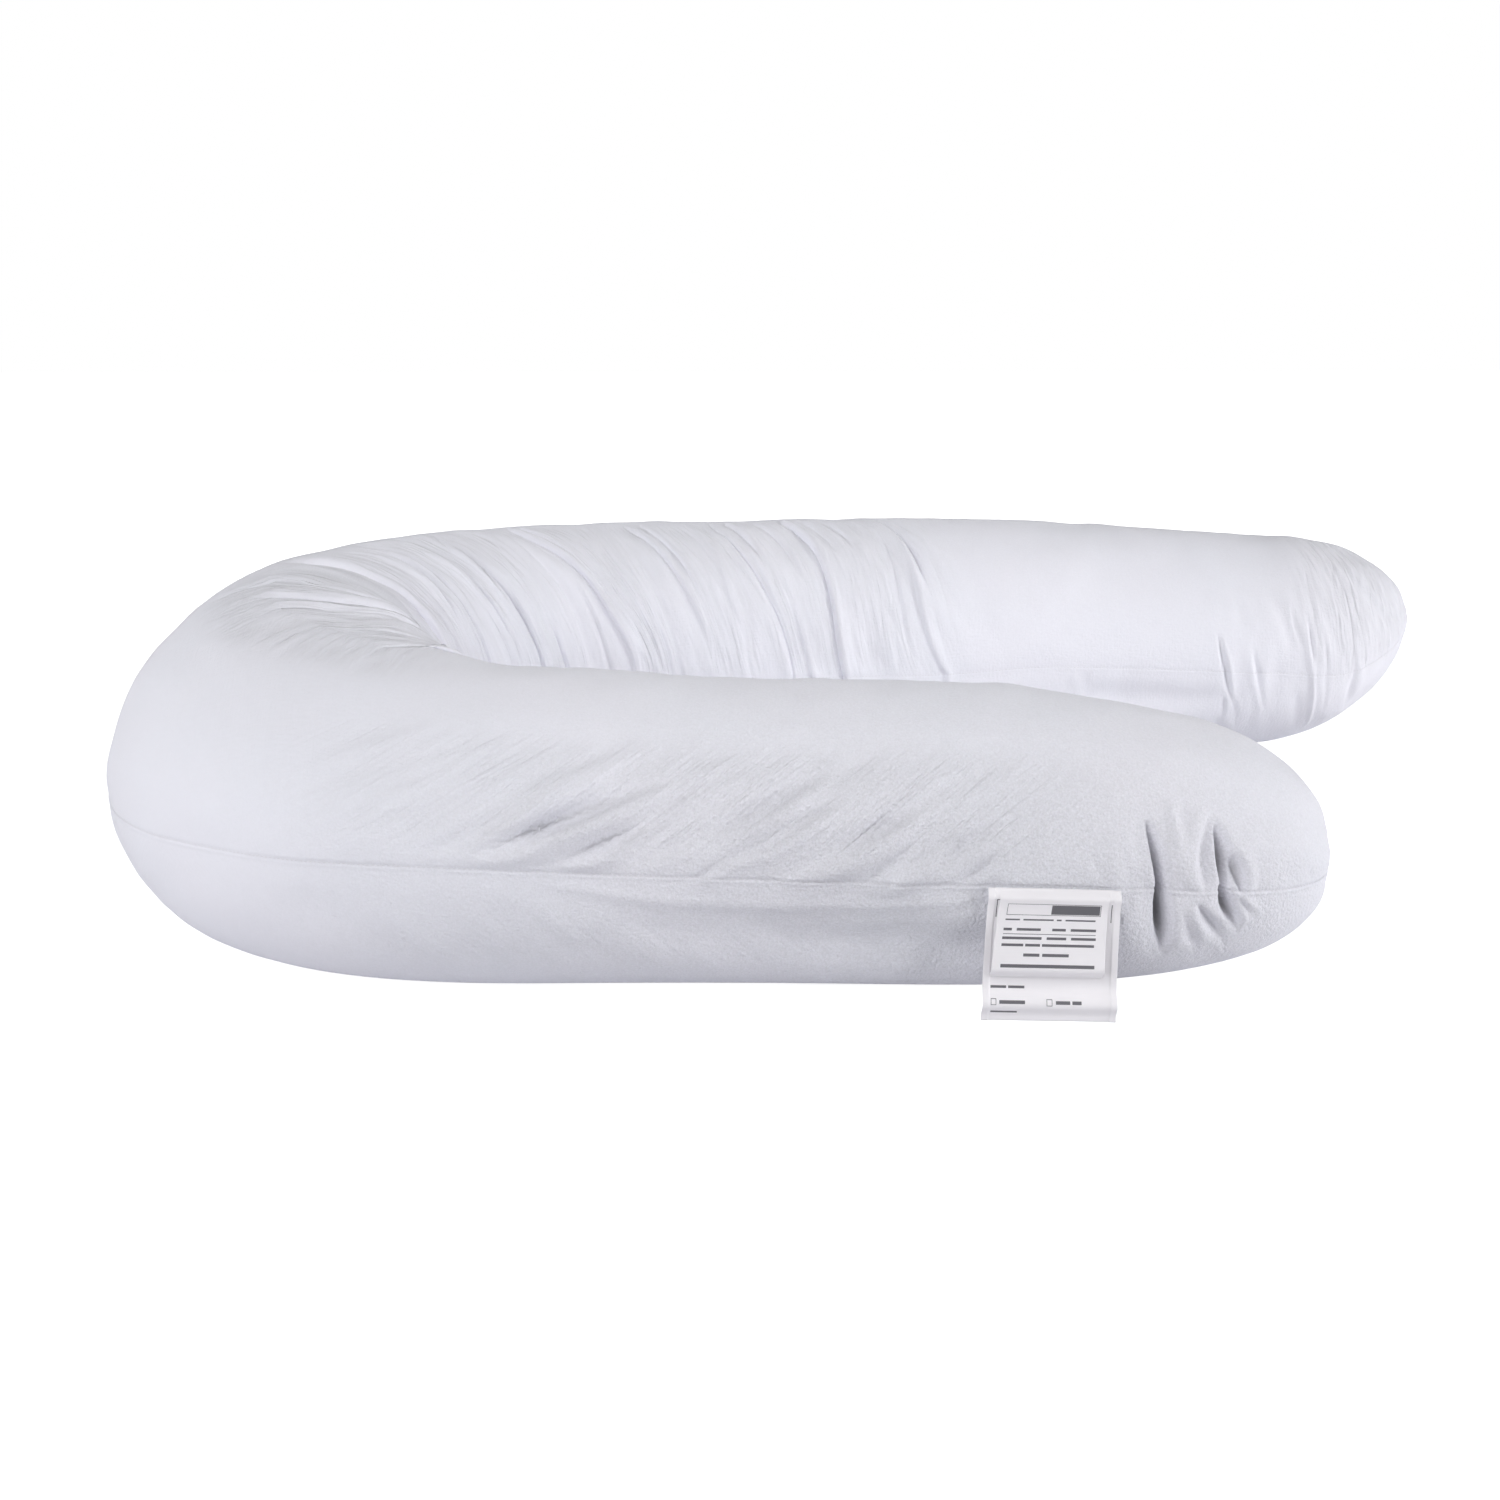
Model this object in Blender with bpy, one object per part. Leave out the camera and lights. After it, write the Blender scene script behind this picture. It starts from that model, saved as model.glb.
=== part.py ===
"""U-shaped pregnancy pillow: one filled cotton tube that lies flat in a U, its seam at mid height,
with two satin labels sewn into the outer seam of the shorter arm.

Metres, +Z up. The origin is the middle of the pillow's box, on the surface that it rests on. +X runs
along the arms from the bend to the tips. The shorter arm lies on the -Y side.
"""
import math
from typing import NamedTuple

import bmesh
import bpy
import numpy as np


# Plan of the centreline. Side distances are from the middle line of the U to each arm's centreline.
NEAR_ARM = 0.522
FAR_ARM = 0.812
NEAR_SIDE = 0.274
FAR_SIDE = 0.248
BEND_REACH = 0.257
NEAR_BEND_POWER = 3.0
FAR_BEND_POWER = 2.0
NEAR_SPLAY = 0.018
FAR_SPLAY = 0.017
ARMS_START_X = -0.216
MIDDLE_LINE_Y = 0.0152
ROUTE_STEPS = 400
DIRECTION_REACH = 0.012

# Section shape: exponents of the crown above the seam and of the flatter belly below it.
CROWN_POWER = 1.92
BELLY_POWER = 2.4
BELLY_SINK = 0.004
SEAM_DRAW = 0.002
SEAM_DRAW_WIDTH = 0.012

# Places round a section, in degrees from the outer seam over the top. Past the wrap angle they count
# back from the outer seam, so that a fold can cross it.
FULL_TURN = 360.0
HALF_TURN = 180.0
OUTER_SEAM = 0.0
INNER_SEAM = 180.0
WRAP_ANGLE = 250.0
MEAN_RADIUS = 0.119
ARC_PER_DEGREE = math.radians(MEAN_RADIUS)

# Mesh: sides round a section, closer together at the seams, and rings along the tube.
HALF_SIDES = 18
SEAM_CROWDING = 0.5
RINGS = 156
MERGE = 1e-5
TINY = 1e-12
ROUTE_SAMPLES = 4000
GAP = 0.0003

# Folds die out this far above the resting surface and this far from the two ends of the tube.
FOLD_FADE_HEIGHT = 0.03
FOLD_FADE_END = 0.05


class Section(NamedTuple):
    """The tube's shape at one place along it, before a tip closes it."""
    share: float
    half_width: float
    rise: float
    seam: float


class Tip(NamedTuple):
    """How an arm's end closes: over what length, how bluntly, and how far its seam lifts."""
    taper: float
    width_power: float
    height_power: float
    lift: float


class Bulge(NamedTuple):
    """A place where the filling presses out: where, how far it reaches along and round the tube, how far
    the cover stands out there and what share of that it rises as well."""
    station: float
    reach: float
    angle: float
    spread: float
    out: float
    rise: float


class Sag(NamedTuple):
    """A stretch along which a line of the seam hangs lower: its ends, its angle and how far it drops."""
    first: float
    last: float
    angle: float
    drop: float


class Spacing(NamedTuple):
    """The distance wanted between rings at one station along the tube."""
    station: float
    step: float


class Fold(NamedTuple):
    """A trough from one place to another, each a station in metres and an angle in degrees.

    roll is the share of the depth by which the cloth beside it is pushed up, on the side of the far
    tip where it is positive and of the near tip where it is negative.
    """
    name: str
    start: tuple
    middle: tuple
    end: tuple
    width: float
    depth: float
    roll: float


class Label(NamedTuple):
    """A sheet sewn into the outer seam between two stations, its drop and how far its foot leans out."""
    name: str
    first: float
    last: float
    drop: float
    lean: float
    layer: int


SECTIONS = (
    Section(share=0.00, half_width=0.115, rise=0.111, seam=0.088),
    Section(share=0.10, half_width=0.116, rise=0.099, seam=0.100),
    Section(share=0.20, half_width=0.118, rise=0.096, seam=0.105),
    Section(share=0.30, half_width=0.119, rise=0.108, seam=0.112),
    Section(share=0.38, half_width=0.118, rise=0.117, seam=0.105),
    Section(share=0.45, half_width=0.125, rise=0.127, seam=0.103),
    Section(share=0.50, half_width=0.128, rise=0.127, seam=0.101),
    Section(share=0.62, half_width=0.128, rise=0.123, seam=0.103),
    Section(share=0.70, half_width=0.128, rise=0.123, seam=0.106),
    Section(share=0.80, half_width=0.126, rise=0.121, seam=0.107),
    Section(share=0.90, half_width=0.121, rise=0.117, seam=0.098),
    Section(share=1.00, half_width=0.115, rise=0.112, seam=0.082),
)

NEAR_TIP = Tip(taper=0.277, width_power=2.4, height_power=2.7, lift=-0.010)
FAR_TIP = Tip(taper=0.129, width_power=2.2, height_power=1.85, lift=0.050)
HEIGHT_TAPER = 1.2
LIFT_TAPER = 1.5

# The filling is crowded at the inside of the bend, and both lines of the seam sag along the arms.
BULGES = (
    Bulge(station=0.798, reach=0.132, angle=154, spread=58, out=0.0277, rise=0.66),
    Bulge(station=0.677, reach=0.057, angle=124, spread=16, out=0.0048, rise=0.66),
    Bulge(station=0.575, reach=0.058, angle=107, spread=35, out=-0.0030, rise=0.0),
)
BULGE_POWER = 2.5
SAGS = (
    Sag(first=1.15, last=1.80, angle=180, drop=0.0085),
    Sag(first=0.12, last=0.78, angle=0, drop=0.0026),
)
SAG_ENDS = 0.14
SAG_SPREAD = 42.0

SPACINGS = (
    Spacing(station=0.00, step=0.0015),
    Spacing(station=0.04, step=0.009),
    Spacing(station=0.25, step=0.011),
    Spacing(station=0.35, step=0.017),
    Spacing(station=0.60, step=0.018),
    Spacing(station=0.70, step=0.026),
    Spacing(station=0.90, step=0.024),
    Spacing(station=1.00, step=0.014),
    Spacing(station=1.20, step=0.012),
    Spacing(station=1.68, step=0.012),
    Spacing(station=1.75, step=0.026),
    Spacing(station=1.88, step=0.024),
    Spacing(station=1.94, step=0.012),
    Spacing(station=2.14, step=0.010),
    Spacing(station=2.18, step=0.0015),
)

FOLDS = (
    # gathers on the inner side of the far arm, from the bend outwards
    Fold("gather_1", (1.16, 92), (1.205, 137), (1.23, 185), width=0.012, depth=0.011, roll=0.6),
    Fold("gather_2", (1.255, 97), (1.325, 133), (1.38, 182), width=0.011, depth=0.006, roll=0.5),
    Fold("gather_3", (1.375, 98), (1.43, 134), (1.46, 180), width=0.012, depth=0.007, roll=0.5),
    Fold("gather_4", (1.46, 94), (1.505, 134), (1.54, 188), width=0.012, depth=0.009, roll=0.6),
    Fold("gather_5", (1.53, 92), (1.572, 134), (1.588, 190), width=0.012, depth=0.009, roll=0.6),
    Fold("gather_6", (1.63, 92), (1.66, 126), (1.69, 182), width=0.012, depth=0.008, roll=-0.6),
    # fan at the inside of the bend
    Fold("fan_1", (1.07, 88), (1.085, 108), (1.09, 130), width=0.010, depth=0.006, roll=-0.6),
    Fold("fan_2", (0.99, 88), (1.00, 110), (1.02, 134), width=0.012, depth=0.006, roll=0.5),
    Fold("fan_3", (0.93, 112), (0.96, 145), (0.97, 190), width=0.011, depth=0.009, roll=-0.5),
    Fold("fan_5", (0.89, 74), (0.845, 98), (0.80, 122), width=0.012, depth=0.003, roll=0.5),
    Fold("fan_4", (1.14, 130), (1.135, 165), (1.12, 195), width=0.010, depth=0.006, roll=-0.5),
    # the same gathers on the inner side of the near arm
    Fold("inner_1", (0.90, 105), (0.89, 145), (0.90, 190), width=0.012, depth=0.008, roll=-0.5),
    Fold("inner_2", (0.78, 110), (0.76, 150), (0.76, 195), width=0.012, depth=0.007, roll=-0.5),
    Fold("inner_3", (0.66, 112), (0.63, 150), (0.62, 190), width=0.012, depth=0.006, roll=-0.5),
    # long slack folds that run from the outer seam of the near arm up over its crown
    Fold("slack_1", (0.555, 8), (0.515, 22), (0.475, 38), width=0.016, depth=0.004, roll=0.6),
    Fold("slack_2", (0.44, 3), (0.40, 20), (0.34, 40), width=0.016, depth=0.004, roll=0.6),
    Fold("slack_3", (0.34, 5), (0.31, 18), (0.285, 28), width=0.014, depth=0.003, roll=0.6),
    # puckers across the seam of the near tip
    Fold("near_pucker_1", (0.147, 30), (0.138, 2), (0.130, -28), width=0.010, depth=0.012, roll=0.25),
    Fold("near_pucker_2", (0.088, 24), (0.096, 0), (0.082, -18), width=0.010, depth=0.009, roll=-0.25),
    Fold("near_pucker_3", (0.116, 2), (0.098, -9), (0.078, -22), width=0.010, depth=0.005, roll=0.2),
    # puckers across the seam of the far tip
    Fold("far_pucker_1", (1.948, 155), (1.958, 180), (1.965, 208), width=0.010, depth=0.009, roll=-0.3),
    Fold("far_pucker_2", (1.985, 162), (1.995, 182), (2.007, 204), width=0.010, depth=0.006, roll=0.2),
    Fold("far_pucker_3", (2.035, 146), (2.045, 168), (2.050, 192), width=0.010, depth=0.006, roll=0.4),
)
ROLL_OFFSET = 1.9
ROLL_WIDTH = 1.2
FOLD_STEPS = 16
FOLD_END_POWER = 0.6

LABELS = (
    Label("label_long", first=0.163, last=0.248, drop=0.090, lean=0.008, layer=0),
    Label("label_short", first=0.1745, last=0.2450, drop=0.057, lean=0.010, layer=1),
)
LABEL_THICKNESS = 0.001
LABEL_LIP = 0.005
LABEL_ACROSS = 8
LABEL_DOWN = 12

# Colour, roughness and metallic value of each finish.
COTTON = ((0.84, 0.845, 0.87, 1.0), 0.9, 0.0)
SATIN = ((0.88, 0.88, 0.90, 1.0), 0.35, 0.0)


def clear_scene():
    for thing in list(bpy.data.objects):
        bpy.data.objects.remove(thing)


def finish(name, look):
    """A material with the finish's colour, roughness and metallic value."""
    colour, roughness, metallic = look
    material = bpy.data.materials.new(name)
    material.use_nodes = True
    shader = material.node_tree.nodes["Principled BSDF"]
    shader.inputs["Base Color"].default_value = colour
    shader.inputs["Roughness"].default_value = roughness
    shader.inputs["Metallic"].default_value = metallic
    return material


def bend_quarter(side, power):
    """A quarter of the bend, from the arm's end to the middle of the bend."""
    turn = np.linspace(0.0, math.pi / 2, ROUTE_STEPS)
    along = -BEND_REACH * np.abs(np.sin(turn)) ** (2 / power)
    across = side * np.abs(np.cos(turn)) ** (2 / power)
    return np.column_stack([along, across])


def centreline():
    """Points of the U from the near tip to the far tip, and their distance along it."""
    share = np.linspace(0.0, 1.0, ROUTE_STEPS)
    near = np.column_stack([NEAR_ARM * share, -NEAR_SIDE - NEAR_SPLAY * share ** 2])[::-1]
    far = np.column_stack([FAR_ARM * share, FAR_SIDE + FAR_SPLAY * share ** 2])
    near_bend = bend_quarter(-NEAR_SIDE, NEAR_BEND_POWER)
    far_bend = bend_quarter(FAR_SIDE, FAR_BEND_POWER)[::-1]
    points = np.vstack([near[:-1], near_bend, far_bend[1:], far[1:]])
    points += (ARMS_START_X, MIDDLE_LINE_Y)
    steps = np.hypot(*np.diff(points, axis=0).T)
    return points, np.concatenate([[0.0], np.cumsum(steps)])


ROUTE, ROUTE_DISTANCE = centreline()
LENGTH = ROUTE_DISTANCE[-1]


def eased(rows, column, share):
    """A column of the section table, read on a smooth curve through its rows."""
    x = np.array([row.share for row in rows])
    y = np.array([getattr(row, column) for row in rows])
    slope = np.gradient(y, x)
    k = np.clip(np.searchsorted(x, share) - 1, 0, len(x) - 2)
    span = x[k + 1] - x[k]
    t = (share - x[k]) / span
    rest = 1 - t
    ends = y[k] * rest ** 2 * (1 + 2 * t) + y[k + 1] * t ** 2 * (1 + 2 * rest)
    return ends + span * t * rest * (slope[k] * rest - slope[k + 1] * t)


def closing(distance, taper, power):
    """1 along the tube, falling to 0 at a tip as a superellipse."""
    inward = np.clip(1 - distance / taper, 0.0, 1.0)
    return (1 - inward ** power) ** (1 / power)


def signed_power(value, power):
    return np.sign(value) * np.abs(value) ** power


def route_points(stations):
    return np.column_stack([np.interp(stations, ROUTE_DISTANCE, ROUTE[:, k]) for k in (0, 1)])


def angle_from(angles, middle):
    """How far round each angle is from the middle, from minus half a turn to half a turn."""
    return (angles - middle + HALF_TURN) % FULL_TURN - HALF_TURN


def eased_step(value):
    """0 up to 0, 1 from 1 on, and smooth between."""
    value = np.clip(value, 0.0, 1.0)
    return value * value * (3 - 2 * value)


def plain_skin(stations, angles):
    """The tube without folds: a grid of points, one row a station and one column an angle."""
    middle = route_points(stations)
    along = route_points(stations + DIRECTION_REACH) - route_points(stations - DIRECTION_REACH)
    along /= np.linalg.norm(along, axis=1)[:, None]
    outward = np.column_stack([-along[:, 1], along[:, 0]])

    share = stations / LENGTH
    half_width = eased(SECTIONS, "half_width", share)
    rise = eased(SECTIONS, "rise", share)
    seam = eased(SECTIONS, "seam", share)
    belly = seam + BELLY_SINK
    lift = np.zeros_like(stations)
    for tip, distance in ((NEAR_TIP, stations), (FAR_TIP, LENGTH - stations)):
        height = closing(distance, tip.taper * HEIGHT_TAPER, tip.height_power)
        half_width = half_width * closing(distance, tip.taper, tip.width_power)
        rise = rise * height
        belly = belly * height
        lift += tip.lift * np.clip(1 - distance / (tip.taper * LIFT_TAPER), 0.0, 1.0) ** 2

    turn = np.radians(angles)
    across, up = np.cos(turn), np.sin(turn)
    power = np.where(up >= 0, 2 / CROWN_POWER, 2 / BELLY_POWER)
    across, up = signed_power(across, power), signed_power(up, power)
    side = half_width[:, None] * across[None, :]
    tall = np.where(up[None, :] >= 0, rise[:, None], belly[:, None]) * up[None, :]
    height = (seam + lift)[:, None] + tall
    for bulge in BULGES:
        lengthwise = np.exp(-np.abs((stations - bulge.station) / bulge.reach) ** BULGE_POWER)
        crosswise = np.exp(-(angle_from(angles, bulge.angle) / bulge.spread) ** 2)
        out = bulge.out * lengthwise[:, None] * crosswise[None, :]
        side = side + out * np.cos(turn)
        height = height + out * (np.sin(turn) + bulge.rise)
    for sag in SAGS:
        lengthwise = eased_step((stations - sag.first) / SAG_ENDS)
        lengthwise *= eased_step((sag.last - stations) / SAG_ENDS)
        crosswise = np.exp(-(angle_from(angles, sag.angle) / SAG_SPREAD) ** 2)
        height = height - sag.drop * lengthwise[:, None] * crosswise[None, :]
    flat = middle[:, None, :] + outward[:, None, :] * side[:, :, None]
    return np.dstack([flat, np.maximum(height, 0.0)])


def facing(skin):
    """The outward normals of a skin whose columns go all the way round."""
    along = np.gradient(skin, axis=0)
    around = np.roll(skin, -1, axis=1) - np.roll(skin, 1, axis=1)
    normal = np.cross(along, around)
    size = np.linalg.norm(normal, axis=2, keepdims=True)
    normal /= np.maximum(size, TINY)
    away = skin - skin.mean(axis=1, keepdims=True)
    return normal if (normal * away).sum() > 0 else -normal


def fold_line(fold):
    """Points along a fold, flattened out: metres along the tube and metres round it."""
    t = np.linspace(0.0, 1.0, FOLD_STEPS)[:, None]
    start, middle, end = (np.array(place, float) for place in (fold.start, fold.middle, fold.end))
    pull = 2 * middle - (start + end) / 2
    line = start * (1 - t) ** 2 + 2 * pull * t * (1 - t) + end * t ** 2
    return line * (1.0, ARC_PER_DEGREE)


def fold_relief(stations, angles):
    """How far the folds push the skin out, or draw it in where negative."""
    angles = np.where(angles > WRAP_ANGLE, angles - FULL_TURN, angles)
    around = angles * ARC_PER_DEGREE
    place = np.dstack(np.broadcast_arrays(stations[:, None], around[None, :]))
    relief = np.zeros(place.shape[:2])
    for fold in FOLDS:
        line = fold_line(fold)
        gap = place[:, :, None, :] - line
        nearest = (gap ** 2).sum(axis=3).argmin(axis=2)
        beside = np.take_along_axis(gap, nearest[:, :, None, None], axis=2)[:, :, 0]
        along = np.gradient(line, axis=0)
        along /= np.linalg.norm(along, axis=1)[:, None]
        along = along[nearest]
        past_end = (beside * along).sum(axis=2)
        across = beside[..., 0] * along[..., 1] - beside[..., 1] * along[..., 0]
        aside = across * np.sign(along[..., 1])
        fade = np.sin(math.pi * (nearest + 1) / (FOLD_STEPS + 1)) ** FOLD_END_POWER
        fade *= np.exp(-(past_end / fold.width) ** 2)
        trough = np.exp(-(aside / fold.width) ** 2)
        crest = math.copysign(ROLL_OFFSET * fold.width, fold.roll)
        roll = abs(fold.roll) * np.exp(-((aside - crest) / (ROLL_WIDTH * fold.width)) ** 2)
        relief += fold.depth * fade * (roll - trough)
    return relief


def seam_relief(angles):
    """The skin drawn in along the two lines of the seam."""
    relief = np.zeros_like(angles)
    for seam in (OUTER_SEAM, INNER_SEAM):
        off = angle_from(angles, seam) * ARC_PER_DEGREE
        relief -= SEAM_DRAW * np.exp(-(off / SEAM_DRAW_WIDTH) ** 2)
    return relief


def skin_with_folds(stations, angles):
    skin = plain_skin(stations, angles)
    relief = fold_relief(stations, angles) + seam_relief(angles)[None, :]
    clear = np.clip(skin[:, :, 2] / FOLD_FADE_HEIGHT, 0.0, 1.0)
    inside = closing(stations, FOLD_FADE_END, 2) * closing(LENGTH - stations, FOLD_FADE_END, 2)
    skin = skin + facing(skin) * (relief * clear * inside[:, None])[:, :, None]
    skin[:, :, 2] = np.maximum(skin[:, :, 2], 0.0)
    return skin


def ring_stations():
    """Stations of the rings, packed as close as the spacing table wants them."""
    fine = np.linspace(0.0, LENGTH, ROUTE_SAMPLES)
    step = np.interp(fine, [row.station for row in SPACINGS], [row.step for row in SPACINGS])
    count = np.concatenate([[0.0], np.cumsum(np.diff(fine) / step[:-1])])
    return np.interp(np.linspace(0.0, count[-1], RINGS), count, fine)


def side_angles():
    """Angles round a section, crowded towards the two seams."""
    share = np.arange(HALF_SIDES) / HALF_SIDES
    half = HALF_TURN * (share - SEAM_CROWDING * np.sin(2 * math.pi * share) / (2 * math.pi))
    return np.concatenate([half, half + HALF_TURN])


def place_object(name, bm, material):
    mesh = bpy.data.meshes.new(name)
    bm.to_mesh(mesh)
    bm.free()
    mesh.shade_smooth()
    mesh.materials.append(material)
    thing = bpy.data.objects.new(name, mesh)
    bpy.context.scene.collection.objects.link(thing)
    return thing


def draped_grid(points):
    """A grid of faces with its vertices at the given rows and columns of points."""
    rows, columns = points.shape[:2]
    bm = bmesh.new()
    bmesh.ops.create_grid(bm, x_segments=columns - 1, y_segments=rows - 1, size=0.5)
    for vertex in bm.verts:
        column = round((vertex.co.x + 0.5) * (columns - 1))
        row = round((vertex.co.y + 0.5) * (rows - 1))
        vertex.co = points[row, column]
    bm.normal_update()
    return bm


def make_body():
    skin = skin_with_folds(ring_stations(), side_angles())
    bm = draped_grid(np.concatenate([skin, skin[:, :1]], axis=1))
    bmesh.ops.remove_doubles(bm, verts=bm.verts, dist=MERGE)
    bmesh.ops.recalc_face_normals(bm, faces=bm.faces)
    return place_object("pillow_body", bm, finish("cotton", COTTON))


def make_label(label, material):
    """A sheet that leaves the seam, passes over the cloth below it and hangs with its foot out."""
    stations = np.linspace(label.first, label.last, LABEL_ACROSS + 1)
    drops = np.linspace(0.0, label.drop, LABEL_DOWN + 1)
    skin = skin_with_folds(stations, side_angles())
    seam = skin[:, 0]
    outward = facing(skin)[:, 0] * (1.0, 1.0, 0.0)
    outward /= np.linalg.norm(outward, axis=1)[:, None]
    lip = np.clip(drops / LABEL_LIP, 0.0, 1.0)
    stand_off = GAP + SEAM_DRAW * lip + label.lean * (drops / label.drop) ** 2
    stand_off += label.layer * (LABEL_THICKNESS + GAP)
    outer_face = seam[None] + outward[None] * (stand_off + LABEL_THICKNESS)[:, None, None]
    outer_face[:, :, 2] -= drops[:, None]
    bm = draped_grid(outer_face)
    bmesh.ops.solidify(bm, geom=bm.faces, thickness=LABEL_THICKNESS)
    bmesh.ops.recalc_face_normals(bm, faces=bm.faces)
    return place_object(label.name, bm, material)


def main():
    clear_scene()
    make_body()
    satin = finish("satin", SATIN)
    for label in LABELS:
        make_label(label, satin)


main()
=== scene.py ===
"""Looks of the u-shaped pregnancy pillow: the cotton cover with its gathers and puckers, the stitches of
its seam, the two satin labels sewn into it, and the studio that it is seen in.

Metres, +Z up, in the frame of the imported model. A place on the cover is a station, which is the distance
along the tube from the shorter arm's tip, and an angle round the tube from its outer seam over the top.
"""
import math
from typing import NamedTuple

import bmesh
import bpy
import numpy as np
from mathutils import Matrix, Vector


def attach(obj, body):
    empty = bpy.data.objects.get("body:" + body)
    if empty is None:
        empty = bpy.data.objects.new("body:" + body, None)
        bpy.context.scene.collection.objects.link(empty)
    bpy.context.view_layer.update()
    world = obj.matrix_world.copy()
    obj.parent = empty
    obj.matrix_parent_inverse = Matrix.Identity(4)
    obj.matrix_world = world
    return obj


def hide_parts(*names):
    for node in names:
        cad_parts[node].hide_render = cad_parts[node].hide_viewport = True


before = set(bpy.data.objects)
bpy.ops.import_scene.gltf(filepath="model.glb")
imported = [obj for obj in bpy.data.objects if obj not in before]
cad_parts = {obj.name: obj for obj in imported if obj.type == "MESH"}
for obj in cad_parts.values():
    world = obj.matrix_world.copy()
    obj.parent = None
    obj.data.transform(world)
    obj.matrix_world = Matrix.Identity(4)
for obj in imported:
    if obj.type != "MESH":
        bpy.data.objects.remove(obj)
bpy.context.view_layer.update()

bl_info = {
    "name": "U-Shaped Pillow",
    "version": (1, 0, 0),
    "blender": (4, 5, 0),
    "location": "View3D > Sidebar > Pillow",
    "description": "Dresses a filled U-shaped body pillow in cotton with its stitched seam and its labels",
    "category": "Object",
}

BODY = "root"
BODY_NODE = "pillow_body"
COVER = "pillow_cover"

# Plan of the tube's centreline, as in the solid that the cover stands for.
NEAR_ARM = 0.522
FAR_ARM = 0.812
NEAR_SIDE = 0.274
FAR_SIDE = 0.248
BEND_REACH = 0.257
NEAR_BEND_POWER = 3.0
FAR_BEND_POWER = 2.0
NEAR_SPLAY = 0.018
FAR_SPLAY = 0.017
ARMS_START_X = -0.216
MIDDLE_LINE_Y = 0.0152
ROUTE_STEPS = 400
DIRECTION_REACH = 0.012

# Section of the tube: exponents of the crown above the seam and of the flatter belly below it.
CROWN_POWER = 1.92
BELLY_POWER = 2.4
BELLY_SINK = 0.004

# Places round a section, in degrees. Past the wrap angle they count back from the outer seam.
FULL_TURN = 360.0
HALF_TURN = 180.0
WRAP_ANGLE = 250.0
MEAN_RADIUS = 0.119
ARC_PER_DEGREE = math.radians(MEAN_RADIUS)
TYPICAL_HALF_WIDTH = 0.120
TYPICAL_RISE = 0.110
ARC_SAMPLES = 2000

# Relief dies out this far above the resting surface and this far from the ends of the tube.
REST_FADE_HEIGHT = 0.03
END_FADE = 0.03
ROUTE_SAMPLES = 8000
MERGE = 1e-6
TINY = 1e-12
NOISE_CELLS = 128
NOISE_GAIN = 1.5


class Section(NamedTuple):
    """The tube's shape at one place along it, before a tip closes it."""
    share: float
    half_width: float
    rise: float
    seam: float


class Tip(NamedTuple):
    """How an arm's end closes: over what length, how bluntly, and how far its seam lifts."""
    taper: float
    width_power: float
    height_power: float
    lift: float


class Bulge(NamedTuple):
    """A place where the filling presses out: where, how far it reaches along and round the tube, how far
    the cover stands out there and what share of that it rises as well."""
    station: float
    reach: float
    angle: float
    spread: float
    out: float
    rise: float


class Sag(NamedTuple):
    """A stretch along which a line of the seam hangs lower: its ends, its angle and how far it drops."""
    first: float
    last: float
    angle: float
    drop: float


class Spacing(NamedTuple):
    """The distance wanted between grid lines at one place."""
    place: float
    step: float


class Gather(NamedTuple):
    """A crease across the inner side of the tube, which the cover's grid follows.

    The four stations are where it passes the gather angles. It shows between the first and the last
    angle. The lip is the height of the ridge beside its steep wall, on the far tip's side where it is
    positive.
    """
    crown: float
    shoulder: float
    wall: float
    seam: float
    first: float
    last: float
    width: float
    depth: float
    lip: float


class Fold(NamedTuple):
    """A trough from one place to another, each a station in metres and an angle in degrees.

    The lip is the height of the ridge beside it, on the far tip's side where it is positive. Skew makes
    the wall on the far tip's side gentler where it is positive. Edge is 2 for a round bottom, less for
    a sharp one and more for steep walls. A fold with a negative depth is a ridge.
    """
    start: tuple
    middle: tuple
    end: tuple
    width: float
    depth: float
    lip: float = 0.0
    skew: float = 0.0
    edge: float = 2.0


class Wrinkles(NamedTuple):
    """Many small folds between two stations and two angles.

    Across and along are the lengths of one wrinkle, slant how many metres it moves along the tube for
    each degree. Sharp wrinkles are thin creases, the others are soft waves. Fine is how strong the
    material's still finer creases are there.
    """
    first: float
    last: float
    low: float
    high: float
    across: float
    along: float
    slant: float
    height: float
    seed: int
    sharp: bool = False
    fine: float = 0.0


class Label(NamedTuple):
    """A satin ribbon in the outer seam.

    It has the node it stands for, its two stations and its drop. Its foot stands out by the lean, moves
    along the seam by the slant, widens by the flare and curls in by the curl. The ridge is a bend across
    it, at a share of the drop.
    """
    name: str
    node: str
    first: float
    last: float
    drop: float
    lean: float
    slant: float
    flare: float
    curl: float
    ridge: float
    ridge_at: float
    layer: int
    hem: float


class Mark(NamedTuple):
    """A printed rule or box on a label, in metres from the label's left edge and its top."""
    left: float
    top: float
    width: float
    height: float
    hollow: bool = False


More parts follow.
